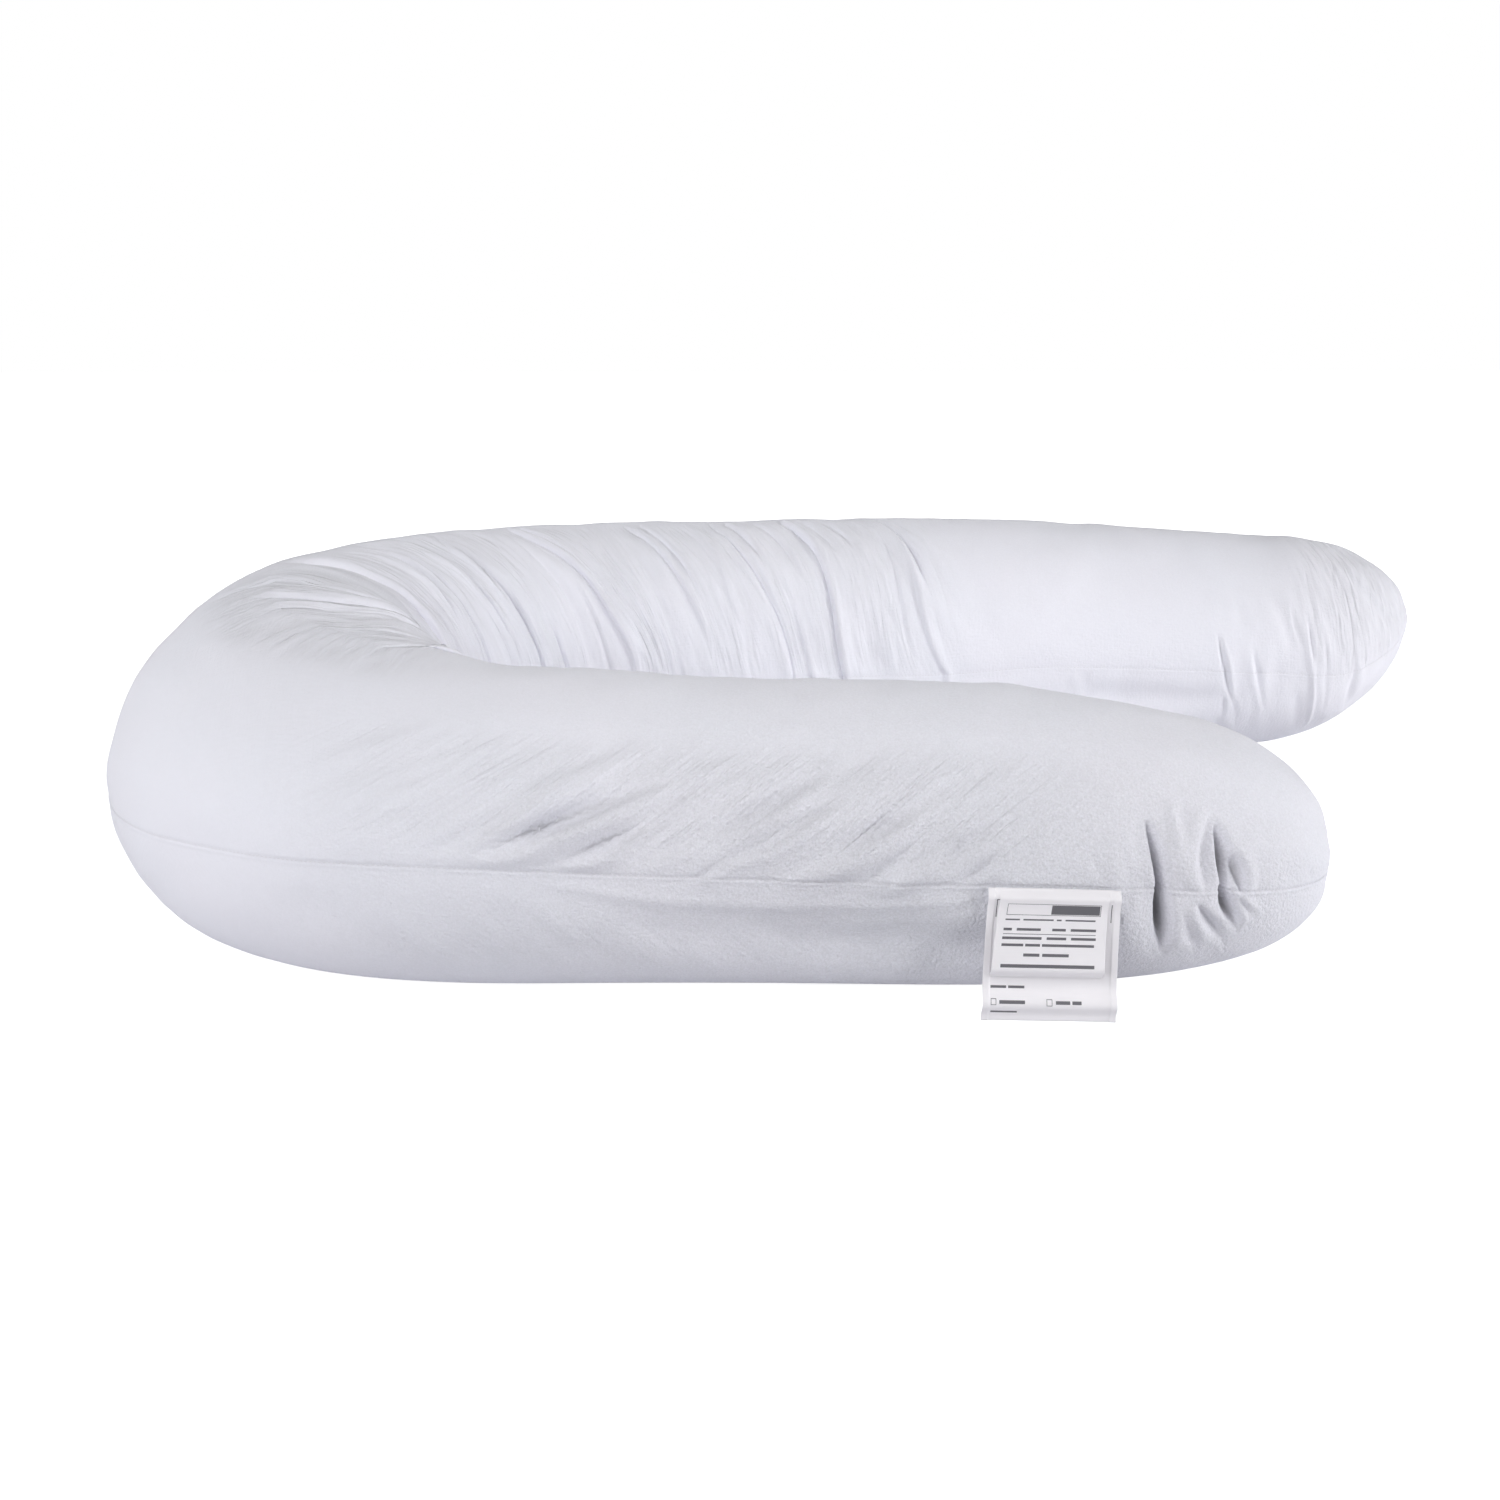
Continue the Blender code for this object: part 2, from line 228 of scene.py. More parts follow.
SECTIONS = (
    Section(share=0.00, half_width=0.115, rise=0.111, seam=0.088),
    Section(share=0.10, half_width=0.116, rise=0.099, seam=0.100),
    Section(share=0.20, half_width=0.118, rise=0.096, seam=0.105),
    Section(share=0.30, half_width=0.119, rise=0.108, seam=0.112),
    Section(share=0.38, half_width=0.118, rise=0.117, seam=0.105),
    Section(share=0.45, half_width=0.125, rise=0.127, seam=0.103),
    Section(share=0.50, half_width=0.128, rise=0.127, seam=0.101),
    Section(share=0.62, half_width=0.128, rise=0.123, seam=0.103),
    Section(share=0.70, half_width=0.128, rise=0.123, seam=0.106),
    Section(share=0.80, half_width=0.126, rise=0.121, seam=0.107),
    Section(share=0.90, half_width=0.121, rise=0.117, seam=0.098),
    Section(share=1.00, half_width=0.115, rise=0.112, seam=0.082),
)
NEAR_TIP = Tip(taper=0.277, width_power=2.4, height_power=2.7, lift=-0.010)
FAR_TIP = Tip(taper=0.129, width_power=2.2, height_power=1.85, lift=0.050)
HEIGHT_TAPER = 1.2
LIFT_TAPER = 1.5

# The filling is crowded at the inside of the bend, and the inner seam of the longer arm sags.
BULGES = (
    Bulge(station=0.798, reach=0.132, angle=154, spread=58, out=0.0277, rise=0.66),
    Bulge(station=0.677, reach=0.057, angle=124, spread=16, out=0.0048, rise=0.66),
    Bulge(station=0.575, reach=0.058, angle=107, spread=35, out=-0.0030, rise=0.0),
)
BULGE_POWER = 2.5
SAGS = (
    Sag(first=1.15, last=1.80, angle=180, drop=0.0085),
    Sag(first=2.00, last=2.179, angle=180, drop=0.0190),
    Sag(first=0.36, last=0.74, angle=0, drop=-0.0024),
    Sag(first=0.68, last=1.25, angle=0, drop=0.0065),
    Sag(first=0.00, last=0.30, angle=0, drop=-0.0022),
)
SAG_ENDS = 0.14
SAG_SPREAD = 42.0

# Rings along the tube, by station.
RING_SPACINGS = (
    Spacing(place=0.00, step=0.0008),
    Spacing(place=0.02, step=0.0024),
    Spacing(place=0.07, step=0.0017),
    Spacing(place=0.08, step=0.0010),
    Spacing(place=0.15, step=0.0010),
    Spacing(place=0.17, step=0.0022),
    Spacing(place=0.24, step=0.0038),
    Spacing(place=0.60, step=0.0046),
    Spacing(place=0.70, step=0.0054),
    Spacing(place=1.00, step=0.0050),
    Spacing(place=1.70, step=0.0048),
    Spacing(place=1.78, step=0.0072),
    Spacing(place=1.90, step=0.0060),
    Spacing(place=1.94, step=0.0017),
    Spacing(place=1.98, step=0.0020),
    Spacing(place=2.02, step=0.0026),
    Spacing(place=2.04, step=0.0016),
    Spacing(place=2.06, step=0.0020),
    Spacing(place=2.14, step=0.0024),
    Spacing(place=2.18, step=0.0008),
)
# Rings crowd to this share of their spacing within this reach of a gather.
GATHER_CROWDING = 0.14
GATHER_REACH = 0.0030

# Grid lines along the tube, by the distance round it from the outer seam: over the top, then below.
TOP_SPACINGS = (
    Spacing(place=0.000, step=0.0008),
    Spacing(place=0.003, step=0.0011),
    Spacing(place=0.006, step=0.0032),
    Spacing(place=0.012, step=0.0037),
    Spacing(place=0.090, step=0.0042),
    Spacing(place=0.120, step=0.0078),
    Spacing(place=0.170, step=0.0074),
    Spacing(place=0.190, step=0.0054),
    Spacing(place=0.340, step=0.0052),
    Spacing(place=0.352, step=0.0030),
    Spacing(place=0.357, step=0.0011),
    Spacing(place=0.365, step=0.0008),
)
BELLY_SPACINGS = (
    Spacing(place=0.000, step=0.0008),
    Spacing(place=0.003, step=0.0012),
    Spacing(place=0.007, step=0.0040),
    Spacing(place=0.060, step=0.0066),
    Spacing(place=0.100, step=0.0160),
    Spacing(place=0.270, step=0.0160),
    Spacing(place=0.320, step=0.0070),
    Spacing(place=0.355, step=0.0040),
    Spacing(place=0.361, step=0.0012),
    Spacing(place=0.370, step=0.0008),
)

GATHER_ANGLES = (95.0, 120.0, 150.0, 180.0)
GATHER_EASE_START = 190.0
GATHER_EASE_END = 290.0
GATHER_SOFT_ENDS = 20.0
GATHERS = (
    # near side of the bend, fanning from its inner corner
    Gather(0.651, 0.608, 0.580, 0.566, 72, 112, width=0.0016, depth=0.0015, lip=0.0009),
    Gather(0.692, 0.628, 0.596, 0.583, 80, 200, width=0.0016, depth=0.0018, lip=-0.0012),
    Gather(0.765, 0.697, 0.650, 0.628, 72, 196, width=0.0026, depth=0.0024, lip=0.0018),
    Gather(0.812, 0.735, 0.682, 0.660, 80, 204, width=0.0026, depth=0.0030, lip=0.0021),
    Gather(0.845, 0.775, 0.722, 0.700, 112, 200, width=0.0018, depth=0.0045, lip=-0.0027),
    Gather(0.880, 0.822, 0.765, 0.742, 66, 206, width=0.0030, depth=0.0027, lip=0.0021),
    Gather(0.925, 0.885, 0.845, 0.825, 104, 202, width=0.0020, depth=0.0048, lip=-0.0030),
    # folds over the crest of the bend
    Gather(0.953, 0.966, 0.960, 0.950, 82, 150, width=0.0018, depth=0.0036, lip=-0.0033),
    Gather(0.990, 1.012, 1.030, 1.040, 78, 160, width=0.0034, depth=0.0054, lip=0.0024),
    Gather(1.030, 1.048, 1.062, 1.070, 82, 170, width=0.0030, depth=0.0033, lip=-0.0027),
    Gather(1.070, 1.090, 1.098, 1.104, 84, 150, width=0.0018, depth=0.0051, lip=-0.0051),
    Gather(1.094, 1.110, 1.121, 1.132, 84, 184, width=0.0018, depth=0.0039, lip=-0.0033),
    Gather(1.134, 1.150, 1.181, 1.200, 84, 180, width=0.0022, depth=0.0036, lip=-0.0036),
    # inner side of the longer arm
    Gather(1.168, 1.183, 1.220, 1.242, 86, 182, width=0.0017, depth=0.0088, lip=-0.0057),
    Gather(1.215, 1.236, 1.265, 1.292, 144, 198, width=0.0014, depth=0.0030, lip=-0.0020),
    Gather(1.240, 1.266, 1.310, 1.330, 100, 162, width=0.0030, depth=0.0015, lip=0.0013),
    Gather(1.248, 1.286, 1.337, 1.368, 132, 198, width=0.0014, depth=0.0028, lip=0.0015),
    Gather(1.254, 1.299, 1.362, 1.386, 86, 198, width=0.0014, depth=0.0040, lip=0.0030),
    Gather(1.266, 1.313, 1.375, 1.400, 84, 128, width=0.0012, depth=0.0018, lip=0.0015),
    Gather(1.345, 1.372, 1.407, 1.424, 146, 200, width=0.0016, depth=0.0013, lip=0.0010),
    Gather(1.360, 1.385, 1.416, 1.434, 150, 200, width=0.0016, depth=0.0015, lip=0.0010),
    Gather(1.374, 1.411, 1.446, 1.462, 86, 164, width=0.0014, depth=0.0025, lip=0.0025),
    Gather(1.390, 1.425, 1.458, 1.476, 86, 150, width=0.0014, depth=0.0020, lip=0.0020),
    Gather(1.425, 1.458, 1.484, 1.500, 88, 140, width=0.0034, depth=0.0013, lip=0.0010),
    Gather(1.460, 1.488, 1.522, 1.539, 86, 192, width=0.0014, depth=0.0035, lip=-0.0022),
    Gather(1.476, 1.504, 1.530, 1.548, 84, 132, width=0.0016, depth=0.0028, lip=0.0018),
    Gather(1.490, 1.515, 1.539, 1.556, 142, 202, width=0.0014, depth=0.0028, lip=0.0015),
    Gather(1.502, 1.534, 1.555, 1.568, 86, 138, width=0.0034, depth=0.0020, lip=0.0013),
    Gather(1.532, 1.563, 1.577, 1.587, 84, 204, width=0.0014, depth=0.0042, lip=0.0032),
    Gather(1.552, 1.581, 1.596, 1.606, 84, 128, width=0.0030, depth=0.0018, lip=0.0015),
    Gather(1.574, 1.600, 1.614, 1.626, 84, 134, width=0.0030, depth=0.0018, lip=0.0015),
    Gather(1.594, 1.618, 1.629, 1.644, 84, 126, width=0.0030, depth=0.0015, lip=0.0013),
    Gather(1.612, 1.634, 1.643, 1.662, 110, 176, width=0.0014, depth=0.0015, lip=0.0013),
    Gather(1.622, 1.648, 1.660, 1.684, 122, 196, width=0.0014, depth=0.0028, lip=0.0020),
    Gather(1.631, 1.657, 1.673, 1.692, 84, 148, width=0.0028, depth=0.0055, lip=-0.0025),
)
GATHER_UNEVEN = 0.3
GATHER_UNEVEN_LENGTH = 0.035

FOLDS = (
    # puckers across the seam at the near tip: deep slots, pointed at both ends
    Fold((0.146, 29), (0.1385, 12), (0.134, -4), width=0.0032, depth=0.0110, lip=0.0024, skew=-0.35,
         edge=2.2),
    Fold((0.137, 8), (0.1325, -10), (0.127, -28), width=0.0041, depth=0.0160, lip=0.0014, skew=-0.2,
         edge=2.2),
    Fold((0.151, 31), (0.1420, 2), (0.131, -31), width=0.0105, depth=0.0052),
    Fold((0.101, 34), (0.107, 16), (0.104, 0), width=0.0066, depth=0.0068, lip=0.0030, skew=-0.2),
    Fold((0.0985, 30), (0.0930, 14), (0.0905, -1), width=0.0042, depth=0.0140, lip=-0.0014, skew=-0.2,
         edge=2.2),
    Fold((0.0870, 18), (0.0825, 9), (0.0790, -1), width=0.0036, depth=0.0100, lip=-0.0012, edge=2.2),
    Fold((0.0940, 4), (0.0870, -6), (0.0775, -17), width=0.0038, depth=0.0125, edge=2.2),
    Fold((0.0860, 26), (0.0920, 4), (0.0840, -20), width=0.0110, depth=0.0030),
    Fold((0.114, -2), (0.0945, -10), (0.0820, -17.5), width=0.0017, depth=-0.0014),
    Fold((0.0820, -17), (0.0755, -11), (0.0820, -2), width=0.0016, depth=-0.0012),
    Fold((0.110, -3), (0.0985, -13), (0.0830, -27), width=0.0040, depth=0.0062, lip=0.0014, edge=1.8),
    Fold((0.119, -6), (0.111, -18), (0.103, -29), width=0.0042, depth=0.0026, lip=0.0012),
    Fold((0.0805, -1), (0.0755, -6), (0.0660, -11), width=0.0019, depth=0.0026, lip=-0.0008),
    Fold((0.130, 37), (0.128, 27), (0.127, 16), width=0.0040, depth=-0.0022),
    Fold((0.121, 38), (0.120, 27), (0.119, 12), width=0.0050, depth=0.0018),
    Fold((0.0300, 13), (0.0280, 8), (0.0255, 2), width=0.0014, depth=0.0016),
    Fold((0.040, 47), (0.032, 44), (0.023, 37), width=0.0020, depth=-0.0009),
    Fold((0.164, 18), (0.158, 5), (0.156, -8), width=0.0044, depth=0.0014, lip=0.0008),
    Fold((0.187, 17), (0.177, 8), (0.172, 1), width=0.0024, depth=0.0013, lip=0.0006),
    Fold((0.072, 24), (0.070, 10), (0.068, 0), width=0.0060, depth=0.0016, lip=0.0008),
    # long slack folds that rise from the outer seam of the near arm
    Fold((0.573, 5), (0.533, 15), (0.490, 25), width=0.0054, depth=0.0068, lip=-0.0058, edge=1.8),
    Fold((0.546, 13), (0.500, 25), (0.450, 37), width=0.0054, depth=0.0086, lip=-0.0070, edge=1.8),
    Fold((0.600, 11), (0.556, 27), (0.508, 44), width=0.0063, depth=0.0037, lip=-0.0027),
    Fold((0.594, 5), (0.562, 17), (0.526, 31), width=0.0055, depth=0.0034, lip=-0.0024),
    Fold((0.519, 4), (0.493, 12), (0.464, 21), width=0.0045, depth=0.0060, lip=-0.0057, edge=1.8),
    Fold((0.472, 4), (0.449, 12), (0.426, 20), width=0.0035, depth=0.0040, lip=-0.0027, edge=1.8),
    Fold((0.436, -1), (0.424, 4), (0.412, 10), width=0.0030, depth=0.0037, lip=-0.0016, edge=1.8),
    Fold((0.424, 12), (0.390, 27), (0.350, 41), width=0.0057, depth=0.0054, lip=-0.0046),
    Fold((0.418, 6), (0.383, 19), (0.342, 32), width=0.0052, depth=0.0054, lip=-0.0046),
    Fold((0.380, 1), (0.352, 12), (0.320, 23), width=0.0050, depth=0.0044, lip=-0.0035),
    Fold((0.362, 1), (0.326, 18), (0.290, 32), width=0.0052, depth=0.0054, lip=-0.0046),
    Fold((0.328, -1), (0.311, 8), (0.292, 18), width=0.0047, depth=0.0044, lip=-0.0032),
    Fold((0.318, -2), (0.296, 10), (0.270, 23), width=0.0049, depth=0.0054, lip=-0.0043),
    Fold((0.290, 2), (0.268, 14), (0.244, 26), width=0.0045, depth=0.0044, lip=-0.0035),
    Fold((0.266, 1), (0.252, 8), (0.236, 16), width=0.0035, depth=0.0034, lip=-0.0024),
    # a long soft crease below the outer seam of the near arm
    Fold((0.550, 0), (0.385, -7.5), (0.235, -1), width=0.0036, depth=-0.0011),
    Fold((0.545, -3), (0.385, -11.5), (0.250, -4), width=0.0060, depth=0.0010),
    # the cloth is drawn under beside the labels
    Fold((0.490, -14), (0.330, -22), (0.195, -23), width=0.030, depth=0.0112),
    # puckers across the seam at the far tip
    Fold((1.949, 159), (1.958, 178), (1.970, 194), width=0.0019, depth=0.0052, lip=0.0016, edge=1.7),
    Fold((1.960, 189), (1.962, 196), (1.965, 205), width=0.0016, depth=0.0024, lip=0.0008, edge=1.7),
    Fold((1.968, 190), (1.973, 196), (1.980, 203), width=0.0016, depth=0.0018, lip=0.0008, edge=1.7),
    Fold((1.984, 168), (1.992, 181), (2.005, 201), width=0.0026, depth=0.0030, lip=-0.0012, edge=1.7),
    Fold((2.027, 145), (2.028, 156), (2.034, 167), width=0.0020, depth=0.0024, lip=-0.0008, edge=1.7),
    Fold((2.040, 147), (2.045, 166), (2.052, 192), width=0.0020, depth=0.0036, lip=-0.0014, edge=1.7),
    Fold((2.046, 162), (2.049, 186), (2.055, 216), width=0.0022, depth=-0.0034),
    Fold((2.056, 158), (2.060, 178), (2.064, 200), width=0.0030, depth=0.0018, edge=1.7),
    Fold((2.034, 188), (2.037, 200), (2.042, 216), width=0.0060, depth=0.0024),
    Fold((2.092, 176), (2.090, 188), (2.086, 202), width=0.0034, depth=0.0024, lip=0.0012),
    Fold((1.958, 204), (1.964, 214), (1.975, 224), width=0.0050, depth=0.0028, lip=0.0012),
    Fold((1.815, 178), (1.8205, 188), (1.826, 200), width=0.0024, depth=0.0044, lip=-0.0034, edge=1.7),
    # the lower panel of the longer arm turns under below its seam
    Fold((1.800, 188), (1.885, 193), (1.964, 191), width=0.017, depth=0.0062),
)
FOLD_STEPS = 28
FOLD_END_POWER = 0.75
FOLD_NARROWEST = 0.4
# Wider folds than this count as less tucked in.
SLOT_WIDTH = 0.0048

# Where the ridge beside a fold stands and how wide it is, in widths of the fold.
LIP_PLACE = 2.1
LIP_WIDTH = 1.7

# A gather is a narrow line in a slope that falls gently from one side. Lengths are in its widths.
GATHER_EDGE = 1.5
GATHER_SLOPE_SHARE = 0.38
GATHER_SLOPE_WIDTH = 4.5
GATHER_LIP_PLACE = 2.6
GATHER_LIP_WIDTH = 2.4

WRINKLES = (
    # fine creases beside the gathers, along their slant
    Wrinkles(0.97, 1.72, 86, 186, across=0.014, along=0.120, slant=0.0010, height=0.0016, seed=11,
             sharp=True, fine=0.42),
    Wrinkles(0.95, 1.74, 84, 190, across=0.022, along=0.120, slant=0.0010, height=0.0020, seed=12),
    Wrinkles(0.92, 1.26, 80, 176, across=0.016, along=0.080, slant=0.0007, height=0.0018, seed=13),
    Wrinkles(0.58, 0.96, 62, 122, across=0.014, along=0.110, slant=-0.0026, height=0.0012, seed=14),
    Wrinkles(0.58, 0.96, 66, 124, across=0.012, along=0.120, slant=-0.0026, height=0.0008, seed=15,
             sharp=True, fine=0.65),
    # inner side of the near arm
    Wrinkles(0.46, 0.98, 100, 196, across=0.016, along=0.090, slant=-0.0012, height=0.0016, seed=21,
             sharp=True, fine=0.40),
    Wrinkles(0.40, 0.98, 96, 200, across=0.026, along=0.110, slant=-0.0012, height=0.0022, seed=22),
    # slack cloth on the near arm's outer side
    Wrinkles(0.20, 0.68, 3, 54, across=0.017, along=0.060, slant=-0.0027, height=0.0028, seed=31),
    Wrinkles(0.16, 0.68, 2, 58, across=0.012, along=0.090, slant=-0.0027, height=0.0006, seed=32,
             sharp=True, fine=0.38),
    Wrinkles(0.16, 0.70, 2, 70, across=0.008, along=0.070, slant=-0.0030, height=0.0006, seed=34),
    Wrinkles(0.26, 0.66, -40, -4, across=0.030, along=0.050, slant=0.0012, height=0.0018, seed=33),
    Wrinkles(0.26, 0.66, -44, -6, across=0.014, along=0.060, slant=0.0020, height=0.0007, seed=35,
             sharp=True, fine=0.20),
    # outer side of the longer arm
    Wrinkles(1.20, 2.02, 2, 58, across=0.022, along=0.080, slant=0.0022, height=0.0018, seed=41),
    Wrinkles(1.25, 2.00, 2, 54, across=0.016, along=0.080, slant=0.0022, height=0.0008, seed=42,
             sharp=True, fine=0.35),
    # puckers round the two tips
    Wrinkles(0.02, 0.17, -34, 34, across=0.014, along=0.045, slant=0.0, height=0.0010, seed=51),
    Wrinkles(0.02, 0.17, 140, 220, across=0.014, along=0.045, slant=0.0, height=0.0018, seed=54),
    Wrinkles(1.92, 2.16, 132, 222, across=0.014, along=0.050, slant=0.0002, height=0.0012, seed=52),
    Wrinkles(1.94, 2.16, -40, 40, across=0.014, along=0.045, slant=0.0, height=0.0018, seed=55),
    Wrinkles(2.03, 2.18, 92, 188, across=0.0075, along=0.110, slant=0.0008, height=0.0013, seed=53),
    Wrinkles(2.01, 2.28, 84, 186, across=0.0060, along=0.110, slant=-0.0005, height=0.0010, seed=56,
             sharp=True, fine=0.60),
    # broad unevenness of the filling
    Wrinkles(-0.5, 2.7, -60, 240, across=0.090, along=0.080, slant=0.0, height=0.0022, seed=61),
    Wrinkles(-0.5, 2.7, -60, 240, across=0.034, along=0.030, slant=0.0, height=0.0006, seed=62),
)
WRINKLE_SOFT_ENDS = 0.08
WRINKLE_SOFT_SIDES = 16.0
WRINKLE_SHARPNESS = 0.10
WRINKLE_WARP = 0.6
WRINKLE_WARP_LENGTH = 0.07
# Sharp wrinkles come in patches, this much wider and shorter than one wrinkle.
PATCH_WIDER = 3
PATCH_SHORTER = 1.7

# Creases too fine for the grid are in the material. On the outer side of the near arm they lean by so many
# metres for each degree above and below the seam, up to the angle given. Elsewhere they do not lean.
FLOW_LEAN_ABOVE = 0.0021
FLOW_LEAN_BELOW = -0.0016
FLOW_LEAN_END = 52.0
FLOW_LEAN_FADE = 14.0
FLOW_ARM_END = 0.82
FLOW_ARM_FADE = 0.10

# The seam, by the distance above it: a narrow groove, and the turned edge of the lower panel below it.
SEAM_GROOVE_AT = 0.0004
SEAM_GROOVE_WIDTH = 0.0008
SEAM_EDGE_AT = -0.0016
SEAM_EDGE_WIDTH = 0.0010
SEAM_EDGE_HEIGHT = 0.00046
SEAM_DRAW = 0.0007
SEAM_DRAW_WIDTH = 0.010
SEAM_PUCKER = 0.0002
SEAM_PUCKER_LENGTH = 0.0075
SEAM_PUCKER_REACH = 0.012
SEAM_PUCKER_SEED = 5
# The inner seam is this share as marked as the outer one.
INNER_SEAM_SHARE = 0.45
# A stitch's middle stands this share of the thread's width above the groove.
STITCH_PROUD = 0.3

LABELS = (
    Label("long_label", "label_long", first=0.163, last=0.248, drop=0.0853, lean=0.010, slant=0.0010,
          flare=0.037, curl=0.0, ridge=0.0052, ridge_at=0.86, layer=0, hem=0.0046),
    Label("short_label", "label_short", first=0.1707, last=0.2402, drop=0.057, lean=0.0135, slant=0.0040,
          flare=0.05, curl=0.0085, ridge=0.0, ridge_at=0.80, layer=1, hem=0.0),
)
RIBBON_THICKNESS = 0.0004
RIBBON_GAP = 0.0004
RIBBON_LIP = 0.006
RIBBON_STAND_OFF = 0.0024
# The ribbon bulges where it leaves the seam.
RIBBON_ROLL = 0.0020
RIBBON_ROLL_AT = 0.0035
RIBBON_ROLL_WIDTH = 0.0065
RIBBON_RIDGE_WIDTH = 0.068
# It starts this far inside the seam.
RIBBON_TUCK = 0.0012
RIBBON_ROWS = 90
RIBBON_CURL_START = 0.82
HEM_HEIGHT = 0.0005
HEM_SOFTNESS = 0.0006
RIBBON_COLUMN_STEP = 0.0022
RIBBON_EDGE_STEP = 0.0004
# The close columns reach this far past the hem.
RIBBON_EDGE_BAND = 0.002

# The printed rules and boxes of the labels.
MARKS = {
    "long_label": (
        Mark(0.0056, 0.0060, 0.0006, 0.0125),
        Mark(0.0056, 0.0060, 0.0024, 0.0006),
        Mark(0.0790, 0.0085, 0.0006, 0.0125),
        Mark(0.0052, 0.0632, 0.0098, 0.0016),
        Mark(0.0162, 0.0632, 0.0102, 0.0016),
        Mark(0.0052, 0.0701, 0.0034, 0.0034, hollow=True),
        Mark(0.0105, 0.0709, 0.0160, 0.0018),
        Mark(0.0400, 0.0701, 0.0036, 0.0036, hollow=True),
        Mark(0.0458, 0.0709, 0.0090, 0.0018),
        Mark(0.0562, 0.0709, 0.0058, 0.0018),
        Mark(0.0056, 0.0778, 0.0165, 0.0016),
    ),
    "short_label": (
        Mark(0.0055, 0.0086, 0.0595, 0.0078, hollow=True),
        Mark(0.0335, 0.0093, 0.0308, 0.0064),
        Mark(0.0053, 0.0188, 0.0090, 0.0010),
        Mark(0.0165, 0.0188, 0.0190, 0.0010),
        Mark(0.0375, 0.0188, 0.0030, 0.0010),
        Mark(0.0430, 0.0188, 0.0190, 0.0010),
        Mark(0.0048, 0.0246, 0.0052, 0.0016),
        Mark(0.0130, 0.0246, 0.0150, 0.0016),
        Mark(0.0352, 0.0246, 0.0085, 0.0016),
        Mark(0.0468, 0.0246, 0.0160, 0.0016),
        Mark(0.0048, 0.0281, 0.0580, 0.0004),
        Mark(0.0045, 0.0300, 0.0245, 0.0016),
        Mark(0.0322, 0.0300, 0.0122, 0.0016),
        Mark(0.0474, 0.0300, 0.0156, 0.0016),
        Mark(0.0045, 0.0342, 0.0135, 0.0016),
        Mark(0.0192, 0.0342, 0.0092, 0.0016),
        Mark(0.0296, 0.0342, 0.0326, 0.0016),
        Mark(0.0185, 0.0400, 0.0100, 0.0018),
        Mark(0.0302, 0.0400, 0.0165, 0.0018),
        Mark(0.0050, 0.0464, 0.0580, 0.0020),
    ),
}
MARK_OUTLINE = 0.00035


class PillowSettings(bpy.types.PropertyGroup):
    """Sizes and colours of the cloth, the seam and the labels."""
    cotton_colour: bpy.props.FloatVectorProperty(
        name="Cotton", description="Colour of the cotton cover", subtype="COLOR", size=3, min=0, max=1,
        default=(0.872, 0.859, 0.926))
    # Tints the random lint grain, and is the painted shade in tucks, the deepest slots, the seam's groove and
    # along fine creases.
    grain_and_crease_shade_colour: bpy.props.FloatVectorProperty(
        name="Crease", description="Colour of the cotton deep inside a crease", subtype="COLOR", size=3,
        min=0, max=1, default=(0.55, 0.546, 0.574))
    thread_colour: bpy.props.FloatVectorProperty(
        name="Thread", description="Colour of the sewing thread", subtype="COLOR", size=3, min=0, max=1,
        default=(0.78, 0.78, 0.82))
    satin_colour: bpy.props.FloatVectorProperty(
        name="Satin", description="Colour of the labels", subtype="COLOR", size=3, min=0, max=1,
        default=(0.985, 0.965, 1.0))
    print_colour: bpy.props.FloatVectorProperty(
        name="Print", description="Colour of the rules printed on the labels", subtype="COLOR", size=3,
        min=0, max=1, default=(0.045, 0.045, 0.06))
    weave_pitch: bpy.props.FloatProperty(
        name="Weave pitch", description="Distance between neighbouring threads of the cotton",
        default=0.00042, min=0.0002, max=0.003, unit="LENGTH", precision=5)
    wrinkle_strength: bpy.props.FloatProperty(
        name="Wrinkles", description="How strong the small wrinkles are, 1 as worn", subtype="FACTOR",
        default=1.0, min=0, max=2)
    crease_strength: bpy.props.FloatProperty(
        name="Creases", description="How deep the main creases are, 1 as worn", subtype="FACTOR",
        default=1.0, min=0, max=2)
    seam_depth: bpy.props.FloatProperty(
        name="Seam depth", description="Depth of the groove in which the stitches lie", default=0.0008,
        min=0, max=0.004, unit="LENGTH", precision=4)
    stitch_pitch: bpy.props.FloatProperty(
        name="Stitch pitch", description="Distance from one stitch to the next", default=0.0032,
        min=0.002, max=0.01, unit="LENGTH", precision=4)
    stitch_length: bpy.props.FloatProperty(
        name="Stitch length", description="Length of thread that shows in one stitch", default=0.0023,
        min=0.001, max=0.009, unit="LENGTH", precision=4)
    thread_width: bpy.props.FloatProperty(
        name="Thread width", description="Width of the sewing thread", default=0.0005, min=0.0002, max=0.002,
        unit="LENGTH", precision=4)


